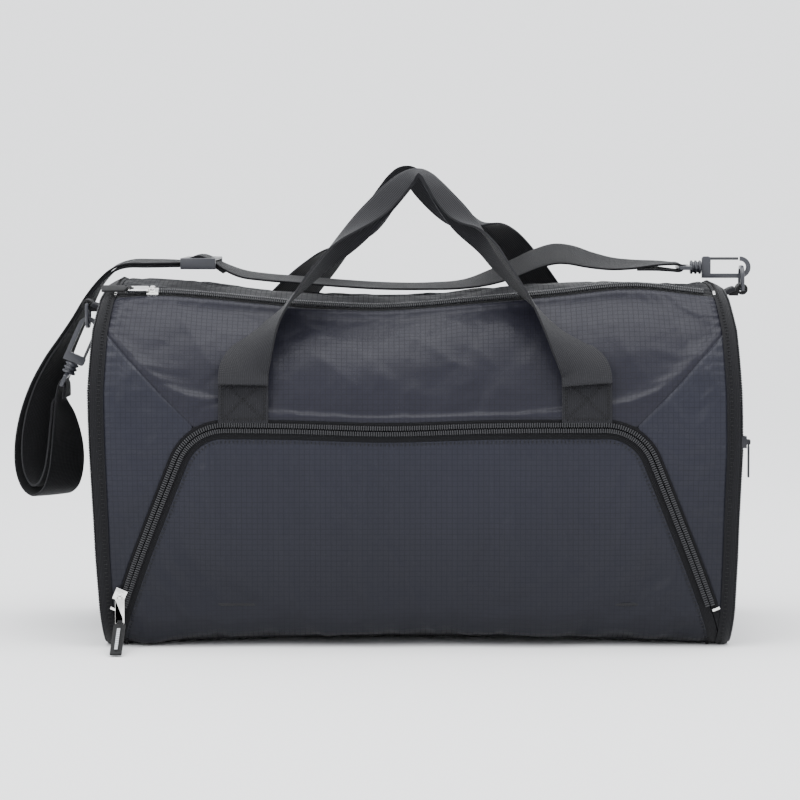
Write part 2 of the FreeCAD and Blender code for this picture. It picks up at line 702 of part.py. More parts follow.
def hook(side, place):
    """Snap hook: nose middle at the origin, local x towards the strap, spine at local -z."""
    body = new_body(f"{side}_hook")
    spine = -size.hook_bore
    outline = rectangle(0, base_end, -hook_out, spine)
    pad(body, "XZ_Plane", [circle(0, 0, hook_out), circle(0, 0, size.hook_bore)], "hook_plate")
    cut(body, "XZ_Plane", [rectangle(0, FAR, spine, FAR)])
    pad(body, "XZ_Plane", [outline], "hook_plate")
    block = [(block_start, spine - 1, 0), (base_end, spine - 1, 0)]
    block += [(base_end, hook_out, 2), (block_start, hook_out, 2)]
    pad(body, "XZ_Plane", [block], "hook_plate")
    # A fork in the block takes the foot of the gate.
    cut(
        body,
        "XZ_Plane",
        [rectangle(block_start - 1, pivot_x + 2, 0, hook_out + 1)],
        None,
        "2 * gate_radius + 2 * play",
    )
    stud_end = base_end + size.play + size.swivel_length / 2
    stud = circle(0, 0, size.stud_radius)
    pad(body, "YZ_Plane", [stud], "swivel_length", shift(stud_end - size.swivel_length / 2))
    body.Placement = place

    gate = new_body(f"{side}_hook_gate")
    length = pivot_x - size.gate_radius
    pad(
        gate,
        "XZ_Plane",
        [band([(0, 0, 0), (-length, 0, 0)], size.gate_radius, size.gate_radius)],
        "2 * gate_radius",
    )
    gate.Placement = on(place, pivot_x, 0, gate_line)

    swivel = new_body(f"{side}_swivel")
    start = base_end + size.play
    disc = circle(0, 0, size.swivel_radius)
    socket = circle(0, 0, size.stud_radius + size.pin_play)
    pad(swivel, "YZ_Plane", [disc], "swivel_length", shift(start + size.swivel_length / 2))
    cut(swivel, "YZ_Plane", [socket], shift(start), "swivel_length + 2 * play")
    ring_start = start + size.swivel_length
    half = size.webbing / 2 + size.strap_ring_side
    outer = [(ring_start, -half, 2), (ring_start + size.strap_ring, -half, 2)]
    outer += [(ring_start + size.strap_ring, half, 2), (ring_start, half, 2)]
    wall = size.strap_ring_bar
    inner = rectangle(
        ring_start + wall, ring_start + size.strap_ring - wall, -half + wall, half - wall
    )
    pad(swivel, "XY_Plane", [outer, inner], "ring_bar")
    swivel.Placement = place
    return ring_start + size.strap_ring - wall / 2


slack = size.hook_slack
right_nose = Vector(bar_x - slack, 0, RINGS["right"][1] + bow_middle)
left_nose = Vector(-bar_x, 0, RINGS["left"][1] - bow_middle - slack)
right_place = Placement(right_nose, Rotation(Vector(0, 0, 1), 180))
left_place = Placement(left_nose, Rotation(Vector(0, 1, 0), 90 + size.left_hook_lean))
ring_far = hook("right", right_place)
hook("left", left_place)
right_bar = right_place.multVec(Vector(ring_far, 0, 0))
left_bar = left_place.multVec(Vector(ring_far, 0, 0))

# ---------------------------------------------------------------- shoulder strap
strap_half = size.webbing_thick / 2
eye = size.strap_ring_bar / 2 + 2 * size.ring_play + strap_half
strap_start = right_bar.x - eye

# The strap crosses the top at a slant, so that it comes down behind the left D-ring.
strap_behind = size.ring_width / 2 + size.webbing / 2 + size.strap_clear
strap_slope = strap_behind / (strap_start + end_face)
strap_heading = math.degrees(math.atan(strap_slope))


def on_top(x, lift):
    return (x, (strap_start - x) * strap_slope, size.bag_height + lift, strap_heading)


# (x, y, z, degrees that the webbing is turned about the upright), right hook to left hook.
strap_points = [(strap_start, 0, right_bar.z, 0)]
strap_points += [on_top(0.77 * end_face, 12), on_top(0.65 * end_face, 10.5)]
strap_points += [on_top(0.56 * end_face, 15), on_top(0.465 * end_face, 21.5)]
strap_points += [on_top(0.37 * end_face, 15), on_top(0.27 * end_face, 5.5)]
strap_points += [on_top(0.12 * end_face, 3), on_top(-0.08 * end_face, 3)]
strap_points += [on_top(-0.24 * end_face, 4.5), on_top(-0.385 * end_face, 9)]
strap_points += [on_top(-0.485 * end_face, size.strap_rise)]
strap_points += [on_top(-end_face + 14, size.strap_rise)]
# (out from the left end, towards the front from behind the ring, below the top, turn)
LOOP = [
    (5, 0, -8, 5),
    (12, 0, 4, 5),
    (18.5, 0, 26, 8),
    (30.5, 1, 50, 16),
    (40.5, 4, 70, 26),
    (47.5, 6.5, 90, 35),
    (53.5, 8.5, 112, 41),
    (56.5, 9.5, 133, 42),
    (56.5, 10.5, 150, 42),
    (52, 14.5, 163.5, 42),
    (42.5, 23, 171, 42),
    (33, 31.5, 164, 42),
    (28, 35.5, 150, 41),
    (27, 36.5, 132, 36),
    (29, 36.5, 109, 22),
]
for out, ahead, below, turn in LOOP:
    spot = (-end_face - out, strap_behind - ahead, size.bag_height - below, turn)
    strap_points.append(spot)
strap_points.append((left_bar.x - 1, 0, left_bar.z - eye - 9, 6))
strap_points.append((left_bar.x, 0, left_bar.z - eye, 0))


def strap_layer(node, points, inward):
    """Webbing through the points, moved towards the inside of its loop."""
    spots = [Vector(x, y, z) for x, y, z, _ in points]
    sections = []
    for i, (_, _, _, turn) in enumerate(points):
        run = (spots[min(i + 1, len(spots) - 1)] - spots[max(i - 1, 0)]).normalize()
        across = Vector(math.sin(math.radians(turn)), math.cos(math.radians(turn)), 0)
        across = (across - run * across.dot(run)).normalize()
        inside = run.cross(across)
        middle = spots[i] + inside * inward
        sections.append((middle, across, inside, size.webbing, size.webbing_thick))
    layer = doc.addObject("Part::Feature", node)
    layer.Label = node
    layer.Shape = ribbon(sections)


strap_layer("strap_webbing", strap_points, 0)
fold_start = on_top(-end_face + size.return_end, size.strap_rise)
run_out = next(i for i, spot in enumerate(strap_points) if spot[0] < fold_start[0])
inner_layer = size.webbing_thick + size.play
strap_layer("strap_return", [fold_start] + strap_points[run_out:], inner_layer)

# Strap buckle: two outer bars over the webbing, a middle bar under it, rails at the sides.
buckle = new_body("strap_buckle")
buckle_half = size.buckle_length / 2
rail = size.webbing / 2 + size.play + size.pin_play
stack_top = strap_half + size.play
stack_low = -(strap_half + size.play + size.webbing_thick + size.play)
bar = size.buckle_bar
top_line = stack_top + size.buckle_wall
low_line = stack_low - size.buckle_wall
for at in (-buckle_half + bar / 2, buckle_half - bar / 2):
    pad(
        buckle,
        "XZ_Plane",
        [rectangle(at - bar / 2, at + bar / 2, stack_top, top_line)],
        "webbing + 2 * buckle_bar",
    )
pad(buckle, "XZ_Plane", [rectangle(-bar / 2, bar / 2, low_line, stack_low)], "webbing + 2 * buckle_bar")
rail_width = size.webbing / 2 + size.buckle_bar - rail
side_wall = rectangle(-buckle_half, buckle_half, low_line, top_line)
for hand in (-1, 1):
    across = hand * (rail + rail_width / 2)
    pad(buckle, "XZ_Plane", [side_wall], "buckle_bar - play - pin_play", shift(across))
buckle_x, buckle_y, buckle_z, _ = on_top(-end_face + size.buckle_rest, size.strap_rise)
buckle_turn = Rotation(Vector(0, 0, 1), -strap_heading)
buckle.Placement = Placement(Vector(buckle_x, buckle_y, buckle_z), buckle_turn)

# ---------------------------------------------------------------- check and write
doc.recompute()
KINDS = ("PartDesign::Body", "Part::Feature")
solids = [item for item in doc.Objects if item.TypeId in KINDS]
faulty = [item.Name for item in doc.Objects if {"Invalid", "Error"} & set(item.State)]
if faulty:
    raise SystemExit(f"not valid: {faulty}")
for item in solids:
    if item.Shape.isNull() or not item.Shape.isValid():
        raise SystemExit(f"{item.Label} has no valid shape")
for item in solids:
    item.Shape.exportStep(f"parts/{item.Label}.step")
print(len(solids), "parts written")
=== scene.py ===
import math

import bpy
import numpy as np
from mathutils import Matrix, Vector, noise


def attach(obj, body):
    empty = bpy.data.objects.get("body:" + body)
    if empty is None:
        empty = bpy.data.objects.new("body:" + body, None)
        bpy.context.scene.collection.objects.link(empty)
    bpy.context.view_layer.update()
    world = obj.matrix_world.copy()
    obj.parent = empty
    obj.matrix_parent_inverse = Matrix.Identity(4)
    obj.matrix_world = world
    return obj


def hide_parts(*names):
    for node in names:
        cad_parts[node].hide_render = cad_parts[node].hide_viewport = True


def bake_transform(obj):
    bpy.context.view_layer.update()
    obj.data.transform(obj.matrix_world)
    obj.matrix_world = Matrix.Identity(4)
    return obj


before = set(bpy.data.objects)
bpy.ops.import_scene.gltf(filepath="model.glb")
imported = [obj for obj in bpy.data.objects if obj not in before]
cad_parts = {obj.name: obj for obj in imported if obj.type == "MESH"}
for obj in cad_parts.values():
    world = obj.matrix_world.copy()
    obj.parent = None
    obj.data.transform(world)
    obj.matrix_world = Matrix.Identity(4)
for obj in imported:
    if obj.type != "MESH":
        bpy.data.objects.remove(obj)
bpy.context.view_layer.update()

MM = 0.001

# ---------------------------------------------------------------- the bag's section, millimetres
HALF_DEPTH = 125.0
HEIGHT = 276.0
BASE_CORNER = 30.0
TOP_CORNER = 108.0
BASE_FLAT = HALF_DEPTH - BASE_CORNER
ARCH_Y = HALF_DEPTH - TOP_CORNER
ARCH_Z = HEIGHT - TOP_CORNER
WALL_START = BASE_FLAT + BASE_CORNER * math.pi / 2
WALL_END = WALL_START + ARCH_Z - BASE_CORNER
ARCH_END = WALL_END + TOP_CORNER * math.pi / 2
ROUND = 2 * (ARCH_END + ARCH_Y)
CLOTH_END = 238.0
END_FACE = 247.5
CORE_HEIGHT = 0.14


def spoke(angle, back=False):
    """Distance along the section to a spoke of the arch, degrees from the top."""
    s = ARCH_END - TOP_CORNER * math.radians(angle)
    return ROUND - s if back else s


def height_to_run(z):
    """Distance along the front of the section up to height z."""
    z = np.asarray(z, float)
    low = BASE_FLAT + BASE_CORNER * np.arccos(np.clip((BASE_CORNER - z) / BASE_CORNER, -1, 1))
    wall = WALL_START + z - BASE_CORNER
    arch = WALL_END + TOP_CORNER * np.arcsin(np.clip((z - ARCH_Z) / TOP_CORNER, -1, 1))
    return np.where(z < BASE_CORNER, low, np.where(z < ARCH_Z, wall, arch))


def section(s):
    """y, z and outward normal at a distance along the section from the middle of the base."""
    s = np.mod(np.asarray(s, float), ROUND)
    front = s <= ROUND / 2
    t = np.where(front, s, ROUND - s)
    low = (t - BASE_FLAT) / BASE_CORNER
    high = (t - WALL_END) / TOP_CORNER
    zones = [t < BASE_FLAT, t < WALL_START, t < WALL_END, t < ARCH_END]
    y = np.select(
        zones,
        [t, BASE_FLAT + BASE_CORNER * np.sin(low), HALF_DEPTH + 0 * t, ARCH_Y + TOP_CORNER * np.cos(high)],
        ARCH_Y - (t - ARCH_END),
    )
    z = np.select(
        zones,
        [
            0 * t, BASE_CORNER * (1 - np.cos(low)),
            BASE_CORNER + t - WALL_START, ARCH_Z + TOP_CORNER * np.sin(high),
        ],
        HEIGHT + 0 * t,
    )
    ny = np.select(zones, [0 * t, np.sin(low), 1 + 0 * t, np.cos(high)], 0 * t)
    nz = np.select(zones, [-1 + 0 * t, -np.cos(low), 0 * t, np.sin(high)], 1 + 0 * t)
    hand = np.where(front, -1.0, 1.0)
    return y * hand, z, ny * hand, nz


EDGE_HEIGHTS = [0, 30, 68, 98, 150, 195, 240, 262, 276, 292]
LEFT_EDGE = [237, 241, 244, 245.5, 248.5, 250, 247.5, 243.5, 237, 231]
RIGHT_EDGE = [241, 244.5, 246.5, 247.5, 250, 249.5, 247.0, 243.0, 238, 232]
ZIP_X = [-250, -203, -163, -86, -27, 11, 70, 111, 142, 165, 187, 210, 250]
ZIP_LIFT = [0, 3, 0.5, -7, -9.5, -7, -1.5, 2, 6, 8, 7, 4, 0]
TOP_X = [-250, -216, -175, -150, -125, -100, -30, 10, 90, 150, 210, 250]
TOP_LIFT = [-3, 4.5, 3.5, 0, -3.5, -4.5, -9, -9, 0, 2, 1, -5]


def unit_rows(rows):
    return rows / np.linalg.norm(rows, axis=1)[:, None]


def smooth(a, b, value):
    t = np.clip((value - a) / (b - a), 0, 1)
    return t * t * (3 - 2 * t)


def soften(x, xs, ys):
    """A rounded run through the given points."""
    total = 0
    for step in (-14, -7, 0, 7, 14):
        total = total + np.interp(x + step, xs, ys)
    return total / 5


def bag(x, s, lift=0.0):
    """Points on the bag: x along it, s along its section, lift out of the cloth; millimetres."""
    x = np.asarray(x, float)
    s = np.asarray(s, float)
    y, z, ny, nz = section(s)
    y = y + ny * lift
    z = z + nz * lift
    t = np.where(np.mod(s, ROUND) <= ROUND / 2, np.mod(s, ROUND), ROUND - np.mod(s, ROUND))
    front = np.mod(s, ROUND) <= ROUND / 2
    at_zip = smooth(300, 392, t) * (1 - smooth(414, 450, t)) * front
    at_top = np.where(front, smooth(404, 446, t), smooth(330, 430, t))
    at_foot = smooth(50, 98, t) * (1 - smooth(118, 168, t))
    z = z + at_zip * soften(x, ZIP_X, ZIP_LIFT) + at_top * soften(x, TOP_X, TOP_LIFT)
    z = z + at_foot * 6.0 * np.clip(1 - (x / 215) ** 2, 0, 1)
    edge = np.where(x < 0, np.interp(z, EDGE_HEIGHTS, LEFT_EDGE), np.interp(z, EDGE_HEIGHTS, RIGHT_EDGE))
    far = np.clip(np.abs(x) / 250, 0, 1.04)
    x = x * (1 - (1 - edge / 250) * far ** 4)
    return np.stack([x, y, z], axis=-1)


# ---------------------------------------------------------------- pocket outline
POCKET_FOOT = 241.5
POCKET_CROWN = 171.0
POCKET_TOP = 168.0
SLANT = math.atan2(POCKET_FOOT - POCKET_CROWN, POCKET_TOP)
POCKET_ROUND = 40.0
POCKET_FLAT = POCKET_CROWN - POCKET_ROUND * math.tan((math.pi / 2 - SLANT) / 2)
POCKET_RISE = (POCKET_TOP - POCKET_ROUND + POCKET_ROUND * math.sin(SLANT)) / math.cos(SLANT)
POCKET_ARC = POCKET_ROUND * (math.pi / 2 - SLANT)
POCKET_RUN = 2 * (POCKET_RISE + POCKET_ARC + POCKET_FLAT)


def pocket_sag(x):
    """How far the top run of the pocket zip hangs below its straight line."""
    return 2.6 * np.exp(-(((x + 22) / 60) ** 2))


def pocket_half(z, out):
    """Half width of the pocket zip line, moved out, at height z."""
    radius = POCKET_ROUND + out
    middle = POCKET_TOP - POCKET_ROUND
    straight = POCKET_FOOT - z * math.tan(SLANT) + out / math.cos(SLANT)
    arc = POCKET_FLAT + np.sqrt(np.clip(radius ** 2 - (z - middle) ** 2, 0, None))
    return np.where(z < middle + radius * math.sin(SLANT), straight, arc)


def pocket_over(x, out):
    """Height of the pocket zip line above x, moved out."""
    radius = POCKET_ROUND + out
    over = np.clip(np.abs(x) - POCKET_FLAT, 0, radius)
    arc = POCKET_TOP - POCKET_ROUND + np.sqrt(np.clip(radius ** 2 - over ** 2, 0, None))
    straight = (POCKET_FOOT + out / math.cos(SLANT) - np.abs(x)) / math.tan(SLANT)
    touch = POCKET_FLAT + radius * math.cos(SLANT)
    return np.where(np.abs(x) < touch, arc, straight)


def pocket_line(run, out=0.0):
    """x, z on the pocket zip line at a distance from its left foot, moved out."""
    run = np.asarray(run, float)
    half = POCKET_RUN / 2
    mirrored = run > half
    r = np.where(mirrored, POCKET_RUN - run, run)
    rise = np.clip(r, None, POCKET_RISE)
    x = -(POCKET_FOOT - rise * math.sin(SLANT)) - out * math.cos(SLANT)
    z = rise * math.cos(SLANT) + out * math.sin(SLANT)
    angle = SLANT + np.clip(r - POCKET_RISE, 0, POCKET_ARC) / POCKET_ROUND
    radius = POCKET_ROUND + out
    ax = -POCKET_FLAT - radius * np.cos(angle)
    az = POCKET_TOP - POCKET_ROUND + radius * np.sin(angle)
    flat = r - POCKET_RISE - POCKET_ARC
    x = np.where(r > POCKET_RISE, ax, x)
    z = np.where(r > POCKET_RISE, az, z)
    x = np.where(flat > 0, -POCKET_FLAT + flat, x)
    z = np.where(flat > 0, POCKET_TOP + out, z)
    x = np.where(mirrored, -x, x)
    return x, z - pocket_sag(x) * (z > 120)


# ---------------------------------------------------------------- materials, metres
RIPSTOP_PITCH = 0.0040
RIPSTOP_THREAD = 0.0008
PICK_PITCH = 0.0011


def material(name):
    made = bpy.data.materials.new(name)
    made.use_nodes = True
    nodes = made.node_tree.nodes
    return made, nodes, made.node_tree.links, nodes["Principled BSDF"]


def add(nodes, kind, **settings):
    node = nodes.new(kind)
    for key, value in settings.items():
        setattr(node, key, value)
    return node


def maths(nodes, links, operation, a, b=None, clamp=False):
    node = add(nodes, "ShaderNodeMath", operation=operation, use_clamp=clamp)
    for slot, value in ((0, a), (1, b)):
        if value is None:
            continue
        if isinstance(value, (int, float)):
            node.inputs[slot].default_value = value
        else:
            links.new(value, node.inputs[slot])
    return node.outputs[0]


def mixed(nodes, links, factor, low, high):
    node = add(nodes, "ShaderNodeMix", data_type="RGBA")
    if isinstance(factor, (int, float)):
        node.inputs["Factor"].default_value = factor
    else:
        links.new(factor, node.inputs["Factor"])
    for socket, value in ((node.inputs["A"], low), (node.inputs["B"], high)):
        if isinstance(value, tuple):
            socket.default_value = (*value, 1)
        else:
            links.new(value, socket)
    return node.outputs["Result"]


def noise_at(nodes, links, vector, scale, detail=3.0, rough=0.55):
    node = add(nodes, "ShaderNodeTexNoise")
    node.inputs["Scale"].default_value = scale
    node.inputs["Detail"].default_value = detail
    node.inputs["Roughness"].default_value = rough
    links.new(vector, node.inputs["Vector"])
    return node.outputs["Fac"]


def grid_line(nodes, links, value, pitch, width):
    """1 on a thin thread every pitch, 0 between."""
    cell = maths(nodes, links, "MULTIPLY", value, 1 / pitch)
    share = maths(nodes, links, "FRACT", cell)
    away = maths(nodes, links, "ABSOLUTE", maths(nodes, links, "SUBTRACT", share, 0.5))
    near = maths(nodes, links, "SUBTRACT", away, 0.5 - width / pitch / 2)
    return maths(nodes, links, "MULTIPLY", near, pitch / width * 2, True)


def waves(nodes, links, value, pitch):
    """A round rib every pitch, -1 to 1."""
    turns = maths(nodes, links, "MULTIPLY", value, 2 * math.pi / pitch)
    return maths(nodes, links, "SINE", turns)


def bumped(nodes, links, height, strength, distance, before=None):
    node = add(nodes, "ShaderNodeBump")
    node.inputs["Strength"].default_value = strength
    node.inputs["Distance"].default_value = distance
    links.new(height, node.inputs["Height"])
    if before:
        links.new(before, node.inputs["Normal"])
    return node.outputs["Normal"]


def ripstop_cloth(name, body, thread, rough=0.38, sheen=0.02, gloss=0.17):
    """Thin nylon with a raised square grid, read from the cloth's own flat measure in metres."""
    made, nodes, links, shader = material(name)
    flat = add(nodes, "ShaderNodeUVMap", uv_map="cloth")
    split = add(nodes, "ShaderNodeSeparateXYZ")
    links.new(flat.outputs[0], split.inputs[0])
    ribs = maths(
        nodes, links, "MAXIMUM",
        grid_line(nodes, links, split.outputs["X"], RIPSTOP_PITCH, RIPSTOP_THREAD),
        grid_line(nodes, links, split.outputs["Y"], RIPSTOP_PITCH, RIPSTOP_THREAD),
    )
    fine_x = maths(nodes, links, "SINE", maths(nodes, links, "MULTIPLY", split.outputs["X"], 9000.0))
    fine_y = maths(nodes, links, "SINE", maths(nodes, links, "MULTIPLY", split.outputs["Y"], 9000.0))
    fine = maths(nodes, links, "MULTIPLY", fine_x, fine_y)
    place = add(nodes, "ShaderNodeTexCoord").outputs["Object"]
    broad = noise_at(nodes, links, place, 9.0, 4.0)
    small = noise_at(nodes, links, place, 160.0, 3.0)
    shade = mixed(nodes, links, broad, tuple(c * 0.78 for c in body), tuple(c * 1.22 for c in body))
    shade = mixed(nodes, links, maths(nodes, links, "MULTIPLY", ribs, 0.8), shade, thread)
    # Painted shade: the base colour darkens towards the floor, mixing up to 75% towards a third of the body
    # colour at the bottom and fading out by about 0.17 m up. It stands in for the overhead light falling
    # off on the lower cloth.
    rise = add(nodes, "ShaderNodeSeparateXYZ")
    links.new(place, rise.inputs[0])
    climb = maths(nodes, links, "MULTIPLY", rise.outputs["Z"], 6.0)
    painted_low_shade = maths(nodes, links, "SUBTRACT", 1.0, climb, True)
    painted_shade_amount = maths(nodes, links, "MULTIPLY", painted_low_shade, 0.75)
    shade = mixed(nodes, links, painted_shade_amount, shade, tuple(c * 0.3 for c in body))
    links.new(shade, shader.inputs["Base Color"])
    wear = maths(nodes, links, "MULTIPLY", small, 0.16)
    level = maths(nodes, links, "ADD", wear, rough - 0.08)
    level = maths(nodes, links, "ADD", level, maths(nodes, links, "MULTIPLY", ribs, 0.2))
    links.new(level, shader.inputs["Roughness"])
    shader.inputs["Sheen Weight"].default_value = sheen
    shader.inputs["Sheen Roughness"].default_value = 0.45
    shader.inputs["Specular IOR Level"].default_value = gloss
    height = maths(nodes, links, "ADD", ribs, maths(nodes, links, "MULTIPLY", fine, 0.25))
    weave = bumped(nodes, links, height, 0.35, 0.00012)
    crumple = noise_at(nodes, links, place, 46.0, 5.0, 0.62)
    sway = noise_at(nodes, links, place, 13.0, 3.0, 0.5)
    soft = bumped(nodes, links, sway, 0.5, 0.012, weave)
    links.new(bumped(nodes, links, crumple, 0.3, 0.0016, soft), shader.inputs["Normal"])
    return made


def ribbed_webbing(name, body, pitch=0.0016, gloss=0.22):
    """Woven strap: ribs along its length, crossed by the picks; X of its measure runs across."""
    made, nodes, links, shader = material(name)
    flat = add(nodes, "ShaderNodeUVMap", uv_map="cloth")
    split = add(nodes, "ShaderNodeSeparateXYZ")
    links.new(flat.outputs[0], split.inputs[0])
    ribs = waves(nodes, links, split.outputs["X"], pitch)
    picks = waves(nodes, links, split.outputs["Y"], PICK_PITCH)
    weave = maths(nodes, links, "ADD", ribs, maths(nodes, links, "MULTIPLY", picks, 0.45))
    tone = maths(nodes, links, "MULTIPLY", maths(nodes, links, "ADD", ribs, 1.0), 0.5)
    place = add(nodes, "ShaderNodeTexCoord").outputs["Object"]
    broad = noise_at(nodes, links, place, 40.0, 4.0)
    shade = mixed(nodes, links, tone, tuple(c * 0.55 for c in body), tuple(c * 1.25 for c in body))
    worn = maths(nodes, links, "MULTIPLY", broad, 0.35)
    shade = mixed(nodes, links, worn, shade, tuple(c * 1.5 for c in body))
    links.new(shade, shader.inputs["Base Color"])
    level = maths(nodes, links, "ADD", maths(nodes, links, "MULTIPLY", broad, 0.2), 0.55)
    links.new(level, shader.inputs["Roughness"])
    shader.inputs["Sheen Weight"].default_value = 0.08
    shader.inputs["Sheen Roughness"].default_value = 0.5
    shader.inputs["Specular IOR Level"].default_value = gloss
    links.new(bumped(nodes, links, weave, 0.6, 0.0002), shader.inputs["Normal"])
    return made


def moulded(name, body, rough, metal=0.0, grain=900.0, depth=0.00004):
    """Moulded plastic or cast metal with a fine skin and rubbed patches."""
    made, nodes, links, shader = material(name)
    place = add(nodes, "ShaderNodeTexCoord").outputs["Object"]
    broad = noise_at(nodes, links, place, 120.0, 4.0)
    skin = noise_at(nodes, links, place, grain, 2.0)
    shade = mixed(nodes, links, broad, tuple(c * 0.8 for c in body), tuple(min(c * 1.25, 1) for c in body))
    links.new(shade, shader.inputs["Base Color"])
    level = maths(nodes, links, "ADD", maths(nodes, links, "MULTIPLY", broad, 0.22), rough - 0.11)
    links.new(level, shader.inputs["Roughness"])
    shader.inputs["Metallic"].default_value = metal
    links.new(bumped(nodes, links, skin, 0.3, depth), shader.inputs["Normal"])
    return made


def placed_webbing(name, body, axis="Y", pitch=0.0016):
    """Woven tape whose ribs lie across one axis of the object's own space."""
    made, nodes, links, shader = material(name)
    place = add(nodes, "ShaderNodeTexCoord").outputs["Object"]
    split = add(nodes, "ShaderNodeSeparateXYZ")
    links.new(place, split.inputs[0])
    ribs = waves(nodes, links, split.outputs[axis], pitch)
    broad = noise_at(nodes, links, place, 60.0, 4.0)
    tone = maths(nodes, links, "MULTIPLY", maths(nodes, links, "ADD", ribs, 1.0), 0.5)
    shade = mixed(nodes, links, tone, tuple(c * 0.6 for c in body), tuple(c * 1.3 for c in body))
    links.new(shade, shader.inputs["Base Color"])
    level = maths(nodes, links, "ADD", maths(nodes, links, "MULTIPLY", broad, 0.25), 0.55)
    links.new(level, shader.inputs["Roughness"])
    shader.inputs["Sheen Weight"].default_value = 0.08
    shader.inputs["Specular IOR Level"].default_value = 0.25
    links.new(bumped(nodes, links, ribs, 0.5, 0.0002), shader.inputs["Normal"])
    return made


CLOTH = ripstop_cloth("charcoal_ripstop", (0.0140, 0.0146, 0.0225), (0.0072, 0.0076, 0.0120))
UPPER_CLOTH = ripstop_cloth("upper_ripstop", (0.0118, 0.0117, 0.0185), (0.0062, 0.0062, 0.0098))
TOP_CLOTH = ripstop_cloth("top_ripstop", (0.0055, 0.0056, 0.0070), (0.0032, 0.0033, 0.0042), 0.5, 0.0, 0.10)
LINING = placed_webbing("lining_cloth", (0.008, 0.008, 0.010), "X", 0.0009)
WEBBING = ribbed_webbing("black_webbing", (0.0088, 0.0088, 0.0108), 0.0016, 0.16)
STRAP_WEBBING = ribbed_webbing("strap_webbing_weave", (0.0052, 0.0052, 0.0062), 0.0016, 0.1)
TAPE = ribbed_webbing("zip_tape_twill", (0.0045, 0.0045, 0.0055), 0.0012, 0.1)
BAND = ribbed_webbing("end_band_twill", (0.0058, 0.0058, 0.0070), 0.0013, 0.1)
RING_WEBBING = placed_webbing("ring_tab_webbing", (0.0085, 0.0085, 0.0095), "Y")
TAB_WEBBING = placed_webbing("zip_tab_webbing", (0.0060, 0.0060, 0.0066), "X", 0.0010)
THREAD = placed_webbing("sewing_thread", (0.0030, 0.0030, 0.0036), "X", 0.0007)
COIL = moulded("nylon_coil", (0.012, 0.0122, 0.0145), 0.34)
SILVER = moulded("polished_zinc", (0.80, 0.79, 0.77), 0.18, 1.0)
DARK_METAL = moulded("black_zinc", (0.020, 0.020, 0.024), 0.34, 0.6)
PLASTIC = moulded("charcoal_acetal", (0.026, 0.027, 0.034), 0.33)
GATE = moulded("hook_gate_plastic", (0.018, 0.0185, 0.022), 0.38)
PALE = placed_webbing("pale_woven_stripe", (0.42, 0.43, 0.45), "Z", 0.0012)


# ---------------------------------------------------------------- making pieces
def free_hands():
    if bpy.context.object and bpy.context.object.mode != "OBJECT":
        bpy.ops.object.mode_set(mode="OBJECT")
    bpy.ops.object.select_all(action="DESELECT")


def finish_piece(piece, name, made, body="bag", nodes=()):
    piece.name = name
    piece.data.name = name
    piece.data.materials.clear()
    piece.data.materials.append(made)
    if body:
        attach(piece, body)
    if nodes:
        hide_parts(*nodes)
    return piece


def sheet_grid(name, across, along, lay):
    """A grid primitive laid out by a rule of u, v in 0..1 that gives points and flat measure."""
    free_hands()
    bpy.ops.mesh.primitive_grid_add(x_subdivisions=across, y_subdivisions=along, size=1)
    piece = bpy.context.object
    piece.name = name
    mesh = piece.data
    spots = np.empty(len(mesh.vertices) * 3)
    mesh.vertices.foreach_get("co", spots)
    spots = spots.reshape(-1, 3)
    points, flat = lay(spots[:, 0] + 0.5, spots[:, 1] + 0.5)
    points[:, 2] = np.maximum(points[:, 2], 0)
    mesh.vertices.foreach_set("co", (points * MM).ravel())
    write_measure(mesh, flat * MM)
    mesh.update()
    return piece


def write_measure(mesh, flat):
    """Keep the flat measure of the cloth, in metres, as the piece's own map."""
    for layer in list(mesh.uv_layers):
        mesh.uv_layers.remove(layer)
    layer = mesh.uv_layers.new(name="cloth")
    corner = np.empty(len(mesh.loops), int)
    mesh.loops.foreach_get("vertex_index", corner)
    layer.data.foreach_set("uv", flat[corner].ravel())


def hold_only(piece):
    free_hands()
    piece.select_set(True)
    bpy.context.view_layer.objects.active = piece


def apply_all(piece):
    hold_only(piece)
    for modifier in list(piece.modifiers):
        bpy.ops.object.modifier_apply(modifier=modifier.name)


def from_core(spot):
    """Direction out of the bag, square to its length, at a point."""
    return Vector((0, spot.y, spot.z - CORE_HEIGHT))


def turned_out(piece, outward):
    """Turn the faces over if they look the wrong way; outward gives the right way at a point."""
    mesh = piece.data
    face = mesh.polygons[len(mesh.polygons) // 2]
    if face.normal.dot(outward(face.center)) < 0:
        mesh.flip_normals()


def smooth_shaded(piece, angle=40.0):
    hold_only(piece)
    bpy.ops.object.shade_smooth_by_angle(angle=math.radians(angle))


def thicken(piece, thick, offset=-1.0):
    modifier = piece.modifiers.new("wall", "SOLIDIFY")
    modifier.thickness = thick * MM
    modifier.offset = offset
    modifier.use_even_offset = False


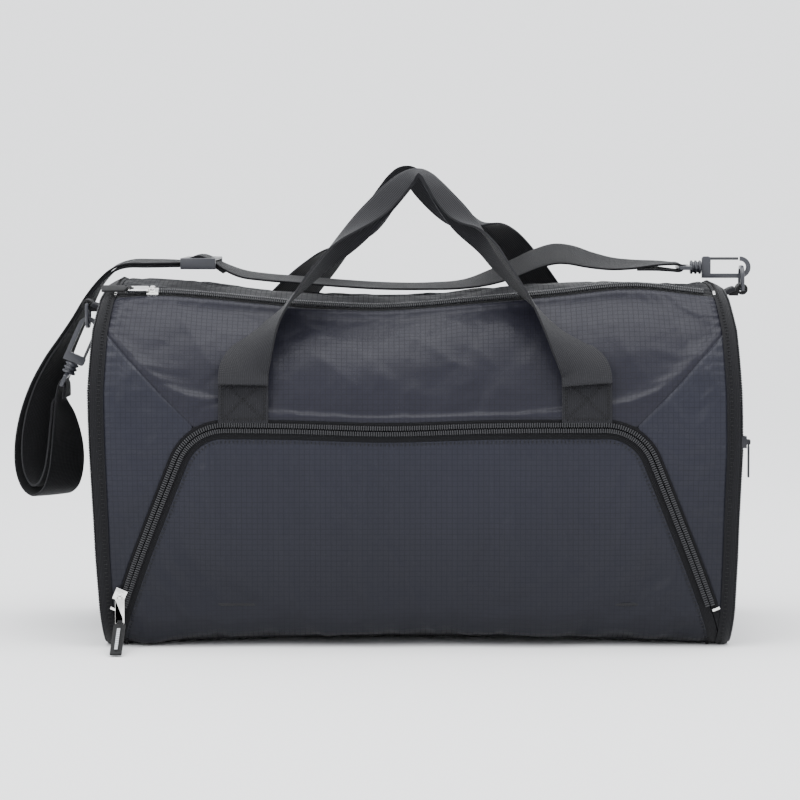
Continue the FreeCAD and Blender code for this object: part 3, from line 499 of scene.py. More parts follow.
def let_drape(piece, held, grow, pressure, cap, frames=20):
    """Let a panel settle as cloth between its held edges: it is cut a little larger than its gap."""
    group = piece.vertex_groups.new(name="held")
    start = np.empty(len(piece.data.vertices) * 3)
    piece.data.vertices.foreach_get("co", start)
    start = start.reshape(-1, 3)
    for index, weight in enumerate(held):
        if weight > 0.01:
            group.add([index], float(min(weight, 1)), "REPLACE")
    cloth = piece.modifiers.new("cloth", "CLOTH")
    settings = cloth.settings
    settings.quality = 6
    settings.mass = 0.08
    settings.tension_stiffness = 18
    settings.compression_stiffness = 18
    settings.shear_stiffness = 4
    settings.bending_stiffness = 0.12
    settings.air_damping = 3
    settings.vertex_group_mass = "held"
    settings.pin_stiffness = 1.0
    settings.shrink_min = -grow
    settings.shrink_max = -grow
    settings.use_pressure = pressure != 0
    settings.uniform_pressure_force = pressure
    settings.effector_weights.gravity = 0.35
    cloth.collision_settings.use_collision = False
    cloth.point_cache.frame_start = 1
    cloth.point_cache.frame_end = frames
    scene = bpy.context.scene
    for number in range(1, frames + 1):
        scene.frame_set(number)
    hold_only(piece)
    bpy.ops.object.modifier_apply(modifier="cloth")
    scene.frame_set(1)
    after = np.empty(len(piece.data.vertices) * 3)
    piece.data.vertices.foreach_get("co", after)
    moved = after.reshape(-1, 3) - start
    far = np.linalg.norm(moved, axis=1)
    limit = cap * MM
    soft = limit * np.tanh(far / limit) / np.where(far > 1e-9, far, 1)
    piece.data.vertices.foreach_set("co", (start + moved * soft[:, None]).ravel())
    piece.data.update()
    piece.vertex_groups.clear()


def crease(spot):
    """Sharp ridge where the noise crosses zero."""
    return 1 - min(abs(noise.noise(spot)) * 3.2, 1)


def wrinkle(x, s, seed=0.0):
    """Folds of slack nylon: broad swells, long soft folds and short sharp creases, millimetres."""
    out = np.empty(len(x))
    for i in range(len(x)):
        bend = 26 * noise.noise(Vector((x[i] * 0.008, s[i] * 0.008, seed)))
        a = noise.noise(Vector((x[i] * 0.010 + seed, s[i] * 0.013, 0.7)))
        b = crease(Vector(((x[i] + 0.6 * s[i] + bend) * 0.021 + seed, (s[i] - 0.5 * x[i]) * 0.006, 3.1)))
        c = crease(Vector(((x[i] - 0.8 * s[i] - bend) * 0.017, (s[i] + 0.7 * x[i]) * 0.008 + seed, 5.3)))
        d = noise.noise(Vector((x[i] * 0.06 - s[i] * 0.03, s[i] * 0.07 + seed, 5.3)))
        e = crease(Vector((x[i] * 0.031 + seed, (s[i] + bend) * 0.047, 8.3)))
        out[i] = 2.8 * a + 1.1 * b * b - 1.0 * c * c + 0.35 * d + 0.4 * e * e
    return out * (1 + 0.9 * (1 - smooth(190, 260, s)))


def pucker(x, s):
    """Gathers beside the end bands."""
    gap = CLOTH_END - np.abs(x)
    gathers = np.sin(s * 0.95 + 1.7 * np.sin(s * 0.13)) * np.exp(-((gap / 8.0) ** 2))
    return gathers - 0.9 * np.exp(-((gap / 3.0) ** 2))


# ---------------------------------------------------------------- cloth panels
def cloth_panel(name, across, along, outline, seam, drape, nodes, made=CLOTH, seed=0.0):
    """One panel: outline(u, v) gives x and s, seam the distances to its seams and to held edges."""
    kept = {}

    def lay(u, v):
        x, s = outline(u, v)
        away, pinned = seam(x, s)
        fold = -1.1 * np.exp(-((away / 1.1) ** 2))
        free = smooth(0, 18, pinned)
        slack = wrinkle(x, s, seed)
        slack = np.where(slack < -1, -1 + (slack + 1) * 0.25, slack)
        lift = fold + slack * free + pucker(x, s) * smooth(0, 3, away)
        kept["away"] = away
        return bag(x, s, lift), np.stack([x, s], axis=-1)

    piece = sheet_grid(name, across, along, lay)
    grow, pressure, cap = drape
    held = 1 - smooth(2.0, 9.0, kept["away"])
    turned_out(piece, from_core)
    let_drape(piece, held, grow, pressure, cap)
    finer = piece.modifiers.new("finer", "SUBSURF")
    finer.levels = 1
    finer.render_levels = 1
    finer.uv_smooth = "NONE"
    thicken(piece, 0.9)
    apply_all(piece)
    smooth_shaded(piece, 60)
    finish_piece(piece, name, made, "bag", nodes)
    return piece


POCKET_IN = 8.0
POCKET_OUT = 5.5
MAIN_OUT = 3.8
ZIP_MIDDLE = spoke(25)
ZIP_FRONT = ZIP_MIDDLE - MAIN_OUT
ZIP_REAR = ZIP_MIDDLE + MAIN_OUT
REAR_SEAM = spoke(32, True)


def edge_of_ends(x):
    return CLOTH_END - np.abs(x)


def pocket_shape(u, v):
    top = POCKET_TOP - POCKET_IN
    z = top * np.sin(v * math.pi / 2) ** 0.96
    x = (2 * u - 1) * pocket_half(z, -POCKET_IN)
    return x, height_to_run(z - pocket_sag(x) * smooth(0.75, 1, v))


def pocket_seam(x, s):
    z = section(s)[1]
    side = (pocket_half(z, -POCKET_IN) - np.abs(x)) * math.cos(SLANT)
    away = np.minimum(side, np.minimum(POCKET_TOP - POCKET_IN - pocket_sag(x) - z, s - BASE_FLAT))
    return away, away


def upper_shape(u, v):
    x = CLOTH_END * (2 * u - 1)
    low = np.maximum(np.abs(x), pocket_over(x, POCKET_OUT) - pocket_sag(x))
    start = height_to_run(low)
    return x, start + (ZIP_FRONT - start) * v


def upper_seam(x, s):
    z = section(s)[1]
    over = np.abs(s - height_to_run(pocket_over(x, POCKET_OUT) - pocket_sag(x)))
    pinned = np.minimum(np.minimum(ZIP_FRONT - s, edge_of_ends(x)), over)
    slope = np.abs(s - height_to_run(np.abs(x))) * 0.71 + 60 * (z < np.abs(x) - 4)
    return np.minimum(pinned, slope), pinned


def gore_shape(hand):
    def shape(u, v):
        z = 237.6 * v
        inner = np.maximum(pocket_half(z, POCKET_OUT), z)
        x = hand * (inner + (CLOTH_END - inner) * u)
        return x, height_to_run(z)
    return shape


def gore_seam(x, s):
    z = section(s)[1]
    pinned = np.minimum(edge_of_ends(x), s - BASE_FLAT)
    pinned = np.minimum(pinned, np.abs(np.abs(x) - pocket_half(z, POCKET_OUT)) * math.cos(SLANT))
    return np.minimum(pinned, np.abs(np.abs(x) - z) * 0.71), pinned


cloth_panel(
    "front_pocket_panel", 150, 56, pocket_shape, pocket_seam,
    (0.012, 0.25, 5), ["pocket_panel"], CLOTH, 4.1,
)
cloth_panel(
    "front_upper_cloth", 170, 48, upper_shape, upper_seam,
    (0.010, 0.2, 4), ["front_upper_panel"], UPPER_CLOTH, 4.1,
)
cloth_panel(
    "left_gore_cloth", 24, 80, gore_shape(-1), gore_seam,
    (0.010, 0.5, 4), ["front_left_gore"], CLOTH, 4.1,
)
cloth_panel(
    "right_gore_cloth", 24, 80, gore_shape(1), gore_seam,
    (0.010, 0.5, 4), ["front_right_gore"], CLOTH, 4.1,
)


def strip_shape(low, high):
    def shape(u, v):
        return CLOTH_END * (2 * u - 1), low + (high - low) * v
    return shape


def strip_seam(low, high):
    def seam(x, s):
        away = np.minimum(np.minimum(s - low, high - s), edge_of_ends(x))
        return away, away
    return seam


cloth_panel(
    "top_cloth", 150, 40, strip_shape(ZIP_REAR, REAR_SEAM), strip_seam(ZIP_REAR, REAR_SEAM),
    (0.010, 0.4, 5), ["top_panel"], TOP_CLOTH, 12.1,
)
BACK_END = ROUND - BASE_FLAT
cloth_panel(
    "back_cloth", 150, 84, strip_shape(REAR_SEAM, BACK_END), strip_seam(REAR_SEAM, BACK_END),
    (0.010, 0.6, 7), ["back_panel"], CLOTH, 15.7,
)


def base_shape(u, v):
    return CLOTH_END * (2 * u - 1), -BASE_FLAT + 2 * BASE_FLAT * v


def base_cloth():
    def lay(u, v):
        x, s = base_shape(u, v)
        return bag(x, s, -0.4), np.stack([x, s], axis=-1)
    piece = sheet_grid("base_cloth", 60, 24, lay)
    turned_out(piece, lambda spot: Vector((0, 0, -1)))
    thicken(piece, 1.2)
    apply_all(piece)
    finish_piece(piece, "base_cloth", CLOTH, "bag", ["base_panel"])


base_cloth()


# ---------------------------------------------------------------- zip tapes
def tape_strip(name, count, place, out_low, out_high, nodes, made=TAPE, lift=-0.9, columns=4):
    """A woven strip beside a zip; place(run, out) gives x and s."""
    def lay(u, v):
        out = out_low + (out_high - out_low) * v
        x, s = place(u, out)
        roll = 0.5 * np.sin(v * math.pi)
        return bag(x, s, lift + roll), np.stack([out, u * count * 3.0], axis=-1)
    piece = sheet_grid(name, count, columns, lay)
    turned_out(piece, from_core)
    thicken(piece, 1.0)
    apply_all(piece)
    smooth_shaded(piece, 60)
    return finish_piece(piece, name, made, "bag", nodes)


def on_pocket(u, out):
    x, z = pocket_line(u * POCKET_RUN, out)
    return x, height_to_run(z)


def on_main(u, out):
    return CLOTH_END * (2 * u - 1), ZIP_MIDDLE + out + 0 * u


tape_strip("pocket_tape_outer", 220, on_pocket, 0.3, POCKET_OUT + 1.6, ["pocket_zip_outer_tape"])
tape_strip("pocket_tape_inner", 220, on_pocket, -POCKET_IN - 1.6, -0.3, ["pocket_zip_inner_tape"])
tape_strip("main_tape_front", 160, on_main, -MAIN_OUT - 1.6, -0.3, ["main_zip_front_tape"])
tape_strip("main_tape_rear", 160, on_main, 0.3, MAIN_OUT + 1.6, ["main_zip_rear_tape"])


# ---------------------------------------------------------------- zip teeth
def one_tooth(long, wide, tall):
    """One turn of a nylon coil as seen from outside: a rounded bar."""
    free_hands()
    bpy.ops.mesh.primitive_cube_add(size=1)
    piece = bpy.context.object
    piece.scale = (wide, long, tall)
    bpy.ops.object.transform_apply(scale=True)
    bevel = piece.modifiers.new("round", "BEVEL")
    bevel.width = min(wide, tall) * 0.3
    bevel.segments = 1
    bpy.ops.object.modifier_apply(modifier="round")
    mesh = piece.data
    spots = np.empty(len(mesh.vertices) * 3)
    mesh.vertices.foreach_get("co", spots)
    faces = [tuple(face.vertices) for face in mesh.polygons]
    bpy.data.objects.remove(piece)
    return spots.reshape(-1, 3), faces


def rows_of(name, unit, spots, runs, sides, ups, made, body, slot, nodes=()):
    """Copies of one small shape, each with its own mesh place, joined into one piece."""
    points, faces = unit
    count = len(spots)
    size = len(points)
    frames = np.stack([runs, sides, ups], axis=1)
    placed = np.einsum("vk,nkj->nvj", points, frames) + spots[:, None, :]
    every = placed.reshape(-1, 3)
    all_faces = [tuple(i + n * size for i in face) for n in range(count) for face in faces]
    mesh = bpy.data.meshes.new(name)
    mesh.from_pydata(every.tolist(), [], all_faces)
    mesh.update()
    piece = bpy.data.objects.new(name, mesh)
    bpy.context.collection.objects.link(piece)
    smooth_shaded(piece, 50)
    return finish_piece(piece, name, made, body, nodes)


def zip_rows(name, place, length, pitch, nodes, half=2.0, lift=1.5, trim=(0.0, 1.0), tall=1.6):
    """Two rows of coil along a zip, half a pitch apart; place(u, out) gives points in metres."""
    count = int(length * (trim[1] - trim[0]) / pitch)
    spots, runs, sides, ups = [], [], [], []
    for row in (-1, 1):
        u = trim[0] + (np.arange(count) + 0.5 + 0.25 * row) / count * (trim[1] - trim[0])
        middle = place(u, row * half * 0.92, lift)
        along = place(u + 0.0008, row * half * 0.92, lift) - place(u - 0.0008, row * half * 0.92, lift)
        up = place(u, row * half * 0.92, lift + 1) - middle
        along, up = unit_rows(along), unit_rows(up)
        side = unit_rows(np.cross(up, along))
        spots.append(middle)
        runs.append(unit_rows(along + side * 0.22 * row))
        sides.append(side)
        ups.append(up)
    unit = one_tooth(half * 1.55 * MM, pitch * 0.66 * MM, tall * MM)
    lists = [np.concatenate(part) for part in (spots, runs, sides, ups)]
    return rows_of(name, unit, *lists, COIL, "bag", "zip_coil", nodes)


def pocket_spot(u, out, lift):
    x, s = on_pocket(u, out)
    return bag(x, s, lift) * MM


def main_spot(u, out, lift):
    x, s = on_main(u, out)
    return bag(x, s, lift) * MM


POCKET_TRIM = 32.0 / math.cos(SLANT) / POCKET_RUN
zip_rows(
    "pocket_coil_rows", pocket_spot, POCKET_RUN, 1.75, ["pocket_zip_coil"],
    2.3, 1.3, (POCKET_TRIM, 1 - POCKET_TRIM),
)
zip_rows("main_coil_rows", main_spot, 2 * CLOTH_END, 1.6, ["main_zip_coil"], 2.0, 1.2, (0.018, 0.982))


# ---------------------------------------------------------------- ends
def end_face_point(hand, inset, s, out=0.0):
    """Point on an end face, inset from the rim of the section."""
    return bag(hand * (END_FACE + out) + 0 * s, s, -inset)


def end_ring(name, hand, low, high, along, made, nodes):
    """A strip right round an end, a little proud of it: v goes from inset low to high."""
    def lay(u, v):
        s = u * ROUND
        inset = low + (high - low) * v
        spot = end_face_point(hand, inset, s, 0.2 + 0 * v)
        return spot, np.stack([inset, s], axis=-1)
    piece = sheet_grid(name, 240, along, lay)
    close_round(piece)
    turned_out(piece, lambda spot: Vector((hand, 0, 0)))
    thicken(piece, 1.0)
    apply_all(piece)
    smooth_shaded(piece, 60)
    return finish_piece(piece, name, made, "bag", nodes)


def close_round(piece):
    """Join the first and last column of a ring."""
    hold_only(piece)
    bpy.ops.object.mode_set(mode="EDIT")
    bpy.ops.mesh.select_all(action="SELECT")
    bpy.ops.mesh.remove_doubles(threshold=0.00001)
    bpy.ops.object.mode_set(mode="OBJECT")


def end_dimples(spots, hand):
    """Slack of an end panel at each spot, millimetres."""
    out = np.empty(len(spots))
    for i, (_, y, z) in enumerate(spots):
        broad = noise.noise(Vector((y * 0.02, z * 0.02, hand * 2.0)))
        small = noise.noise(Vector((y * 0.05, z * 0.05, hand * 4.0)))
        out[i] = 2.0 * broad + 1.0 * small
    return out


for hand, side in ((-1, "left"), (1, "right")):
    def band_lay(u, v, hand=hand):
        s = u * ROUND
        x = hand * (CLOTH_END - 1.2 + (END_FACE - CLOTH_END + 1.2) * v)
        swell = 1.0 * np.sin(v * math.pi)
        return bag(x, s, 0.3 + swell), np.stack([x, s], axis=-1)
    band = sheet_grid(f"{side}_end_band", 280, 6, band_lay)
    close_round(band)
    turned_out(band, from_core)
    thicken(band, 1.0)
    apply_all(band)
    smooth_shaded(band, 60)
    finish_piece(band, f"{side}_end_band", BAND, "bag", [f"{side}_end_zip_outer_tape"])
    end_ring(f"{side}_face_tape", hand, -0.2, 5.2, 3, BAND, [])
    end_ring(f"{side}_inner_face_tape", hand, 5.4, 14.5, 4, TAPE, [f"{side}_end_zip_inner_tape"])

    def end_spot(u, out, lift, hand=hand):
        return end_face_point(hand, 4.6 + out, u * ROUND, lift) * MM
    zip_rows(f"{side}_end_coil_rows", end_spot, ROUND, 2.0, [f"{side}_end_zip_coil"], 2.0, 1.2)

    def end_lay(u, v, hand=hand):
        s = u * ROUND
        rim = end_face_point(hand, 14.0, s)
        hub = np.array([hand * END_FACE, 0.0, 140.0])
        share = v[:, None]
        spot = hub + (rim - hub) * share
        swell = 7.0 * (1 - v ** 2.2) + end_dimples(spot, hand) * smooth(0, 0.12, 1 - v)
        spot[:, 0] = rim[:, 0] * v ** 0.3 + hub[0] * (1 - v ** 0.3) + hand * swell
        return spot, spot[:, 1:3] + 0
    end = sheet_grid(f"{side}_end_cloth", 150, 30, end_lay)
    close_round(end)
    turned_out(end, lambda spot, hand=hand: Vector((hand, 0, 0)))
    thicken(end, 0.9)
    apply_all(end)
    smooth_shaded(end, 60)
    finish_piece(end, f"{side}_end_cloth", CLOTH, "bag", [f"{side}_end_panel"])


# ---------------------------------------------------------------- webbing
def frames_along(points, across):
    """Across and through directions at each station of a strap."""
    run = unit_rows(np.gradient(points, axis=0))
    across = unit_rows(across - run * np.sum(across * run, axis=1)[:, None])
    return across, np.cross(run, across)


def spline(stations, count):
    """A smooth line through stations of any numbers, evenly spread by the length of the first three."""
    rows = np.array(stations, float)
    gaps = np.linalg.norm(np.diff(rows[:, :3], axis=0), axis=1)
    at = np.concatenate([[0], np.cumsum(np.sqrt(gaps))])
    slope = np.gradient(rows, at, axis=0)
    t = np.linspace(0, at[-1], count * 4)
    index = np.clip(np.searchsorted(at, t, side="right") - 1, 0, len(at) - 2)
    span = (at[index + 1] - at[index])[:, None]
    h = ((t - at[index]) / span[:, 0])[:, None]
    a, b = rows[index], rows[index + 1]
    ma, mb = slope[index] * span, slope[index + 1] * span
    line = (
        (2 * h**3 - 3 * h**2 + 1) * a + (h**3 - 2 * h**2 + h) * ma
        + (-2 * h**3 + 3 * h**2) * b + (h**3 - h**2) * mb
    )
    step = np.concatenate([[0], np.cumsum(np.linalg.norm(np.diff(line[:, :3], axis=0), axis=1))])
    even = np.linspace(0, step[-1], count)
    return np.stack([np.interp(even, step, line[:, k]) for k in range(line.shape[1])], axis=-1), step[-1]


def strap(name, stations, width, thick, count, hand=-1, turns=14):
    """Webbing through stations (x, y, z, across x, y, z, fold): fold closes it lengthwise, degrees."""
    line, length = spline(stations, count)
    points = line[:, :3]
    across, through = frames_along(points, line[:, 3:6])
    through = through * -hand
    bend = np.radians(line[:, 6])

    def lay(u, v):
        i = np.clip(np.rint(v * (count - 1)).astype(int), 0, count - 1)
        side = 2 * u - 1
        out = np.abs(side) * width / 2
        left = side * width / 2 * np.cos(bend[i])
        deep = out * np.sin(bend[i])
        curl = 0.5 * (1 - side ** 2) * np.sin(i * 0.05)
        spot = points[i] + across[i] * left[:, None] + through[i] * (deep + curl)[:, None]
        return spot, np.stack([side * width / 2, i / (count - 1) * length], axis=-1)

    piece = sheet_grid(name, turns, count - 1, lay)
    thicken(piece, thick, 0.0)
    rounding = piece.modifiers.new("edges", "BEVEL")
    rounding.width = thick * 0.3 * MM
    rounding.segments = 2
    rounding.limit_method = "ANGLE"
    rounding.angle_limit = math.radians(50)
    apply_all(piece)
    smooth_shaded(piece, 45)
    return piece


WEB_WIDTH = 38
HANDLE_THICK = 1.5
STRAP_THICK = 1.7
ANCHOR_X = 130.5
FOOT_Y = 122.9
FOOT_Z = 208.0
LEAN = (FOOT_Y - 26.0) / 157.0

# (x, z, turn out of the flat, fold along the middle), left foot to right foot
FRONT_LOOP = [
    (-130.5, 201, 0, 0), (-130, 212, 4, 0), (-123, 229, 30, 0), (-112, 245, 56, 0),
    (-98, 262, 70, 2), (-83, 281, 80, 6), (-66, 302, 86, 20), (-55, 316, 88, 44),
    (-45, 328, 90, 66), (-35, 338.5, 92, 80), (-26, 347.5, 97, 85), (-18, 354.5, 106, 87),
    (-10, 360, 117, 88), (-2, 363, 127, 88), (6, 363, 134, 88), (13.5, 359.5, 132, 88),
    (21, 353, 122, 87), (30, 344, 106, 85), (40, 333.5, 92, 74), (49, 322, 86, 48),
    (55.5, 312, 90, 24), (64, 298, 92, 10), (76, 281, 84, 4), (90, 262, 74, 0),
    (105, 243, 56, 0), (118, 228, 30, 0), (129, 212, 4, 0), (130.5, 201, 0, 0),
]
REAR_LOOP = [
    (-130.5, 201, 0, 0), (-129.5, 214, 2, 0), (-117, 236, 10, 0), (-95, 263, 20, 0),
    (-76, 284, 32, 2), (-62, 300, 46, 8), (-52, 312, 62, 26), (-44, 323, 76, 54),
    (-36, 335, 86, 76), (-28, 346.5, 92, 84), (-20, 357, 104, 86), (-12, 363.5, 116, 87),
    (-3, 364.5, 122, 87), (6, 359.5, 112, 86), (16, 350.5, 98, 84), (27, 341, 86, 78),
    (37, 333, 72, 62), (47, 325, 50, 34), (57, 316.5, 28, 10), (68, 305, 14, 2),
    (82, 288.5, 10, 0), (97, 268, 8, 0), (116, 239, 6, 0), (129, 214, 2, 0), (130.5, 201, 0, 0),
]


def handle_stations(loop, hand):
    """Loop rows put on the leaning plane of a handle; hand -1 is the front one."""
    rows = []
    lean = np.array([0, -hand * LEAN, 1.0])
    lean /= np.linalg.norm(lean)
    outward = np.array([0, hand * lean[2], -hand * lean[1]])
    flat = np.array([(x, z) for x, z, _, _ in loop])
    runs = unit_rows(np.gradient(flat, axis=0))
    for (x, z, turn, fold), (a, b) in zip(loop, runs):
        spot = np.array([x, hand * (FOOT_Y - (z - FOOT_Z) * LEAN), z])
        inward = np.array([b, 0, 0]) - a * lean
        angle = math.radians(turn)
        across = inward * math.cos(angle) + outward * math.sin(angle)
        rows.append(tuple(spot) + tuple(across) + (fold,))
    return rows


for hand, row, loop in ((-1, "front", FRONT_LOOP), (1, "rear", REAR_LOOP)):
    stations = handle_stations(loop, hand)
    webbing = strap(f"{row}_handle_webbing", stations, WEB_WIDTH, HANDLE_THICK, 230, hand, 18)
    webbing.data.materials.clear()
    webbing.data.materials.append(WEBBING)
    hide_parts(f"{row}_handle")
    end = (0, hand * (FOOT_Y - 10 * LEAN) * MM, (FOOT_Z + 10) * MM)
    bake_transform(webbing)


# ---------------------------------------------------------------- shoulder strap
STRAP_START = 204.8
STRAP_BEHIND = 36.5
SLOPE = STRAP_BEHIND / (STRAP_START + END_FACE)
HEADING = math.degrees(math.atan(SLOPE))


def over_top(x, z, roll=6.0):
    return (x, (STRAP_START - x) * SLOPE, z, HEADING, roll)


# (x, y, z, turn about the upright, near edge down), right hook to left hook
STRAP_LINE = [
    (176, 2.5, 284.9, 4, 3), (192, 1, 284.2, 3, 1), (203, 0, 283.2, 0, 0), (208.3, 0, 283.0, 0, 0),
    (210.8, 0, 285.5, 0, 0), (208.3, 0, 288.0, 0, 0), (202, 0, 288.4, 1, 0), over_top(190, 288.4, 3),
    over_top(172, 287.5, 8), over_top(155, 288, 12),
    over_top(138, 291, 17), over_top(122, 295, 22), over_top(110, 295.5, 25), over_top(96, 291.5, 26),
    over_top(80, 284.5, 24), over_top(60, 277, 17), over_top(38, 271.5, 8), over_top(8, 269.8, 5),
    over_top(-25, 270, 5), over_top(-60, 272, 5),
    over_top(-92, 274.5, 5), over_top(-118, 276.5, 5), over_top(-136, 279, 5), over_top(-148, 283.5, 3),
    over_top(-157.5, 288.6, 0), over_top(-163, 291.6, 0), over_top(-169.5, 293.6, 0),
    over_top(-176, 291.6, 0),
    over_top(-181.5, 288.6, 0), over_top(-194, 288.5, 2), over_top(-210, 288.5, 3), over_top(-228, 288, 3),
    (-240, 36, 283.5, 5, 4), (-251, 36.5, 273, 5, 4),
    (-260, 36.5, 259, 7, 0), (-269, 36.5, 242, 11, 0), (-280, 35.5, 222, 18, 0), (-288.5, 32.5, 204, 27, 0),
    (-295.5, 30, 185, 36, 0), (-301.5, 28, 163, 41, 0), (-304.5, 27, 142, 42, 0), (-303.5, 25, 123, 42, 0),
    (-298, 20.5, 110, 42, 0), (-289.5, 13, 105, 42, 0), (-281, 5.5, 110.5, 42, 0), (-276, 1, 124, 41, 0),
    (-274.5, 0, 143, 36, 0), (-276.5, 0, 166, 22, 0), (-279.5, 0, 181, 7, 0), (-279.6, 0, 192.5, 0, 0),
    (-277.4, 0, 196.6, 0, 0), (-274.6, 0, 194.6, 0, 0), (-275, 0, 183, 4, 0),
]
RETURN_FROM = next(i for i, row in enumerate(STRAP_LINE) if row[0] < -145)


def strap_stations(line, inward):
    """Rows for the webbing, moved towards the inside of its loop."""
    spots = np.array([row[:3] for row in line], float)
    runs = unit_rows(np.gradient(spots, axis=0))
    rows = []
    for spot, run, row in zip(spots, runs, line):
        turn, roll = math.radians(row[3]), math.radians(row[4])
        across = np.array([math.sin(turn), math.cos(turn), math.sin(roll)])
        across -= run * run.dot(across)
        across /= np.linalg.norm(across)
        inside = np.cross(run, across)
        rows.append(tuple(spot + inside * inward) + tuple(across) + (0.0,))
    return rows


outer_layer = strap("strap_outer_layer", strap_stations(STRAP_LINE, 0), WEB_WIDTH, STRAP_THICK, 420, -1, 10)
finish_piece(outer_layer, "strap_outer_layer", STRAP_WEBBING, "bag", ["strap_webbing"])
RETURN_LINE = STRAP_LINE[RETURN_FROM:]
RETURN_LINE = RETURN_LINE[:-4] + [(-278.6, 0, 181, 7, 0), (-278.2, 0, 186, 3, 0)]
# gap between the two layers, opening through the hanging loop, millimetres
OPENING = [2.6, 3.2, 4.0, 5.0, 6.5, 8.0, 9.0, 9.0, 8.0, 6.5, 5.0, 4.0, 3.2, 2.6, 2.3, 2.3]
gaps = [2.3] * (len(RETURN_LINE) - len(OPENING)) + OPENING
return_rows = [strap_stations(RETURN_LINE, gap)[i] for i, gap in enumerate(gaps)]
return_layer = strap("strap_return_layer", return_rows, WEB_WIDTH, STRAP_THICK, 260, -1, 10)
finish_piece(return_layer, "strap_return_layer", STRAP_WEBBING, "bag", ["strap_return"])


def anchor_patch(name, x, back, nodes):
    """Handle end sewn flat on the cloth."""
    foot, head = float(height_to_run(171.5)), float(height_to_run(207.0))

    def lay(u, v):
        s = foot + (head - foot) * v
        s = ROUND - s if back else s
        stand = 1.7 + 2.2 * smooth(0.90, 1.0, v)
        side = WEB_WIDTH * (u - 0.5)
        return bag(x + side, s, stand), np.stack([side, s], axis=-1)
    piece = sheet_grid(name, 14, 30, lay)
    turned_out(piece, from_core)
    thicken(piece, STRAP_THICK)
    apply_all(piece)
    smooth_shaded(piece, 50)
    return finish_piece(piece, name, WEBBING, "bag", nodes)


for hand, row in ((-1, "front"), (1, "rear")):
    for way, side in ((-1, "left"), (1, "right")):
        anchor_patch(f"{row}_{side}_patch", way * ANCHOR_X, hand > 0, [f"{row}_{side}_anchor"])

# ---------------------------------------------------------------- stitching
STITCH = one_tooth(0.55 * MM, 2.3 * MM, 0.5 * MM)


def stitch_row(name, places, body="bag", step=3.1, lift=0.35):
    """Stitches along one or more open paths; each is an array of points with their outward normals."""
    spots, runs, sides, ups = [], [], [], []
    for points, normals in places:
        gaps = np.linalg.norm(np.diff(points, axis=0), axis=1)
        at = np.concatenate([[0], np.cumsum(gaps)])
        count = max(int(at[-1] / (step * MM)), 2)
        even = (np.arange(count) + 0.5) / count * at[-1]
        middle = np.stack([np.interp(even, at, points[:, k]) for k in range(3)], axis=-1)
        up = np.stack([np.interp(even, at, normals[:, k]) for k in range(3)], axis=-1)
        slopes = np.gradient(points, at, axis=0)
        run = np.stack([np.interp(even, at, slopes[:, k]) for k in range(3)], axis=-1)
        run = unit_rows(run)
        up = unit_rows(up - run * np.sum(run * up, axis=1)[:, None])
        spots.append(middle + up * lift * MM)
        runs.append(run)
        sides.append(np.cross(run, up))
        ups.append(up)
    lists = [np.concatenate(part) for part in (spots, runs, sides, ups)]
    return rows_of(name, STITCH, lists[0], lists[2], lists[1], lists[3], THREAD, body, None)


def seam_path(xs, ss, lift=0.6):
    """Points and normals along the bag for a row of stitches."""
    xs, ss = np.asarray(xs, float), np.asarray(ss, float)
    points = bag(xs, ss, lift) * MM
    normals = bag(xs, ss, lift + 1) * MM - points
    return points, normals


along = np.linspace(0.004, 0.996, 500)
x, s = on_pocket(along, -POCKET_IN - 2.4)
stitch_row("pocket_edge_stitches", [seam_path(x, s, 0.2)])
rows = []
round_bag = np.linspace(BASE_FLAT + 4, ROUND - BASE_FLAT - 4, 900)
for way in (-1, 1):
    rows.append(seam_path(0 * round_bag + way * (CLOTH_END + 2.4), round_bag, 1.2))
stitch_row("end_seam_stitches", rows)


def patch_rows(x, back):
    """Box and cross that hold a handle end."""
    foot, head = float(height_to_run(174.5)), float(height_to_run(203.0))
    corners = [(-16, foot), (16, foot), (16, head), (-16, head), (-16, foot), (16, head)]
    crossing = [(-16, head), (16, foot)]
    made = []
    for line in (corners[:5], corners[4:6], crossing):
        xs, ss = [], []
        for (x0, s0), (x1, s1) in zip(line, line[1:]):
            share = np.linspace(0, 1, 24)
            xs.append(x0 + (x1 - x0) * share)
            ss.append(s0 + (s1 - s0) * share)
        xs, ss = np.concatenate(xs) + x, np.concatenate(ss)
        keep = np.concatenate([[True], (np.abs(np.diff(xs)) + np.abs(np.diff(ss))) > 1e-6])
        ss = ROUND - ss if back else ss
        made.append(seam_path(xs[keep], ss[keep], 1.7))
    return made


rows = []
for back in (False, True):
    for way in (-1, 1):
        rows += patch_rows(way * ANCHOR_X, back)
stitch_row("handle_end_stitches", rows, "bag", 2.6, 0.3)


# ---------------------------------------------------------------- moulded and cast hardware
def softened(node, made, body, round_off):
    """A detailed copy of a hard part: merged, its flats cleaned and its edges rolled."""
    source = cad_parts[node]
    name = f"{node}_finish"
    piece = bpy.data.objects.new(name, source.data.copy())
    bpy.context.collection.objects.link(piece)
    hold_only(piece)
    bpy.ops.object.mode_set(mode="EDIT")
    bpy.ops.mesh.select_all(action="SELECT")
    bpy.ops.mesh.remove_doubles(threshold=0.000004)
    bpy.ops.mesh.dissolve_limited(angle_limit=math.radians(1.5))
    bpy.ops.mesh.normals_make_consistent(inside=False)
    bpy.ops.object.mode_set(mode="OBJECT")
    rolled = piece.modifiers.new("rolled_edges", "BEVEL")
    rolled.width = round_off * MM
    rolled.segments = 3
    rolled.limit_method = "ANGLE"
    rolled.angle_limit = math.radians(32)
    rolled.use_clamp_overlap = True
    apply_all(piece)
    smooth_shaded(piece, 38)
    return finish_piece(piece, name, made, body, [node])


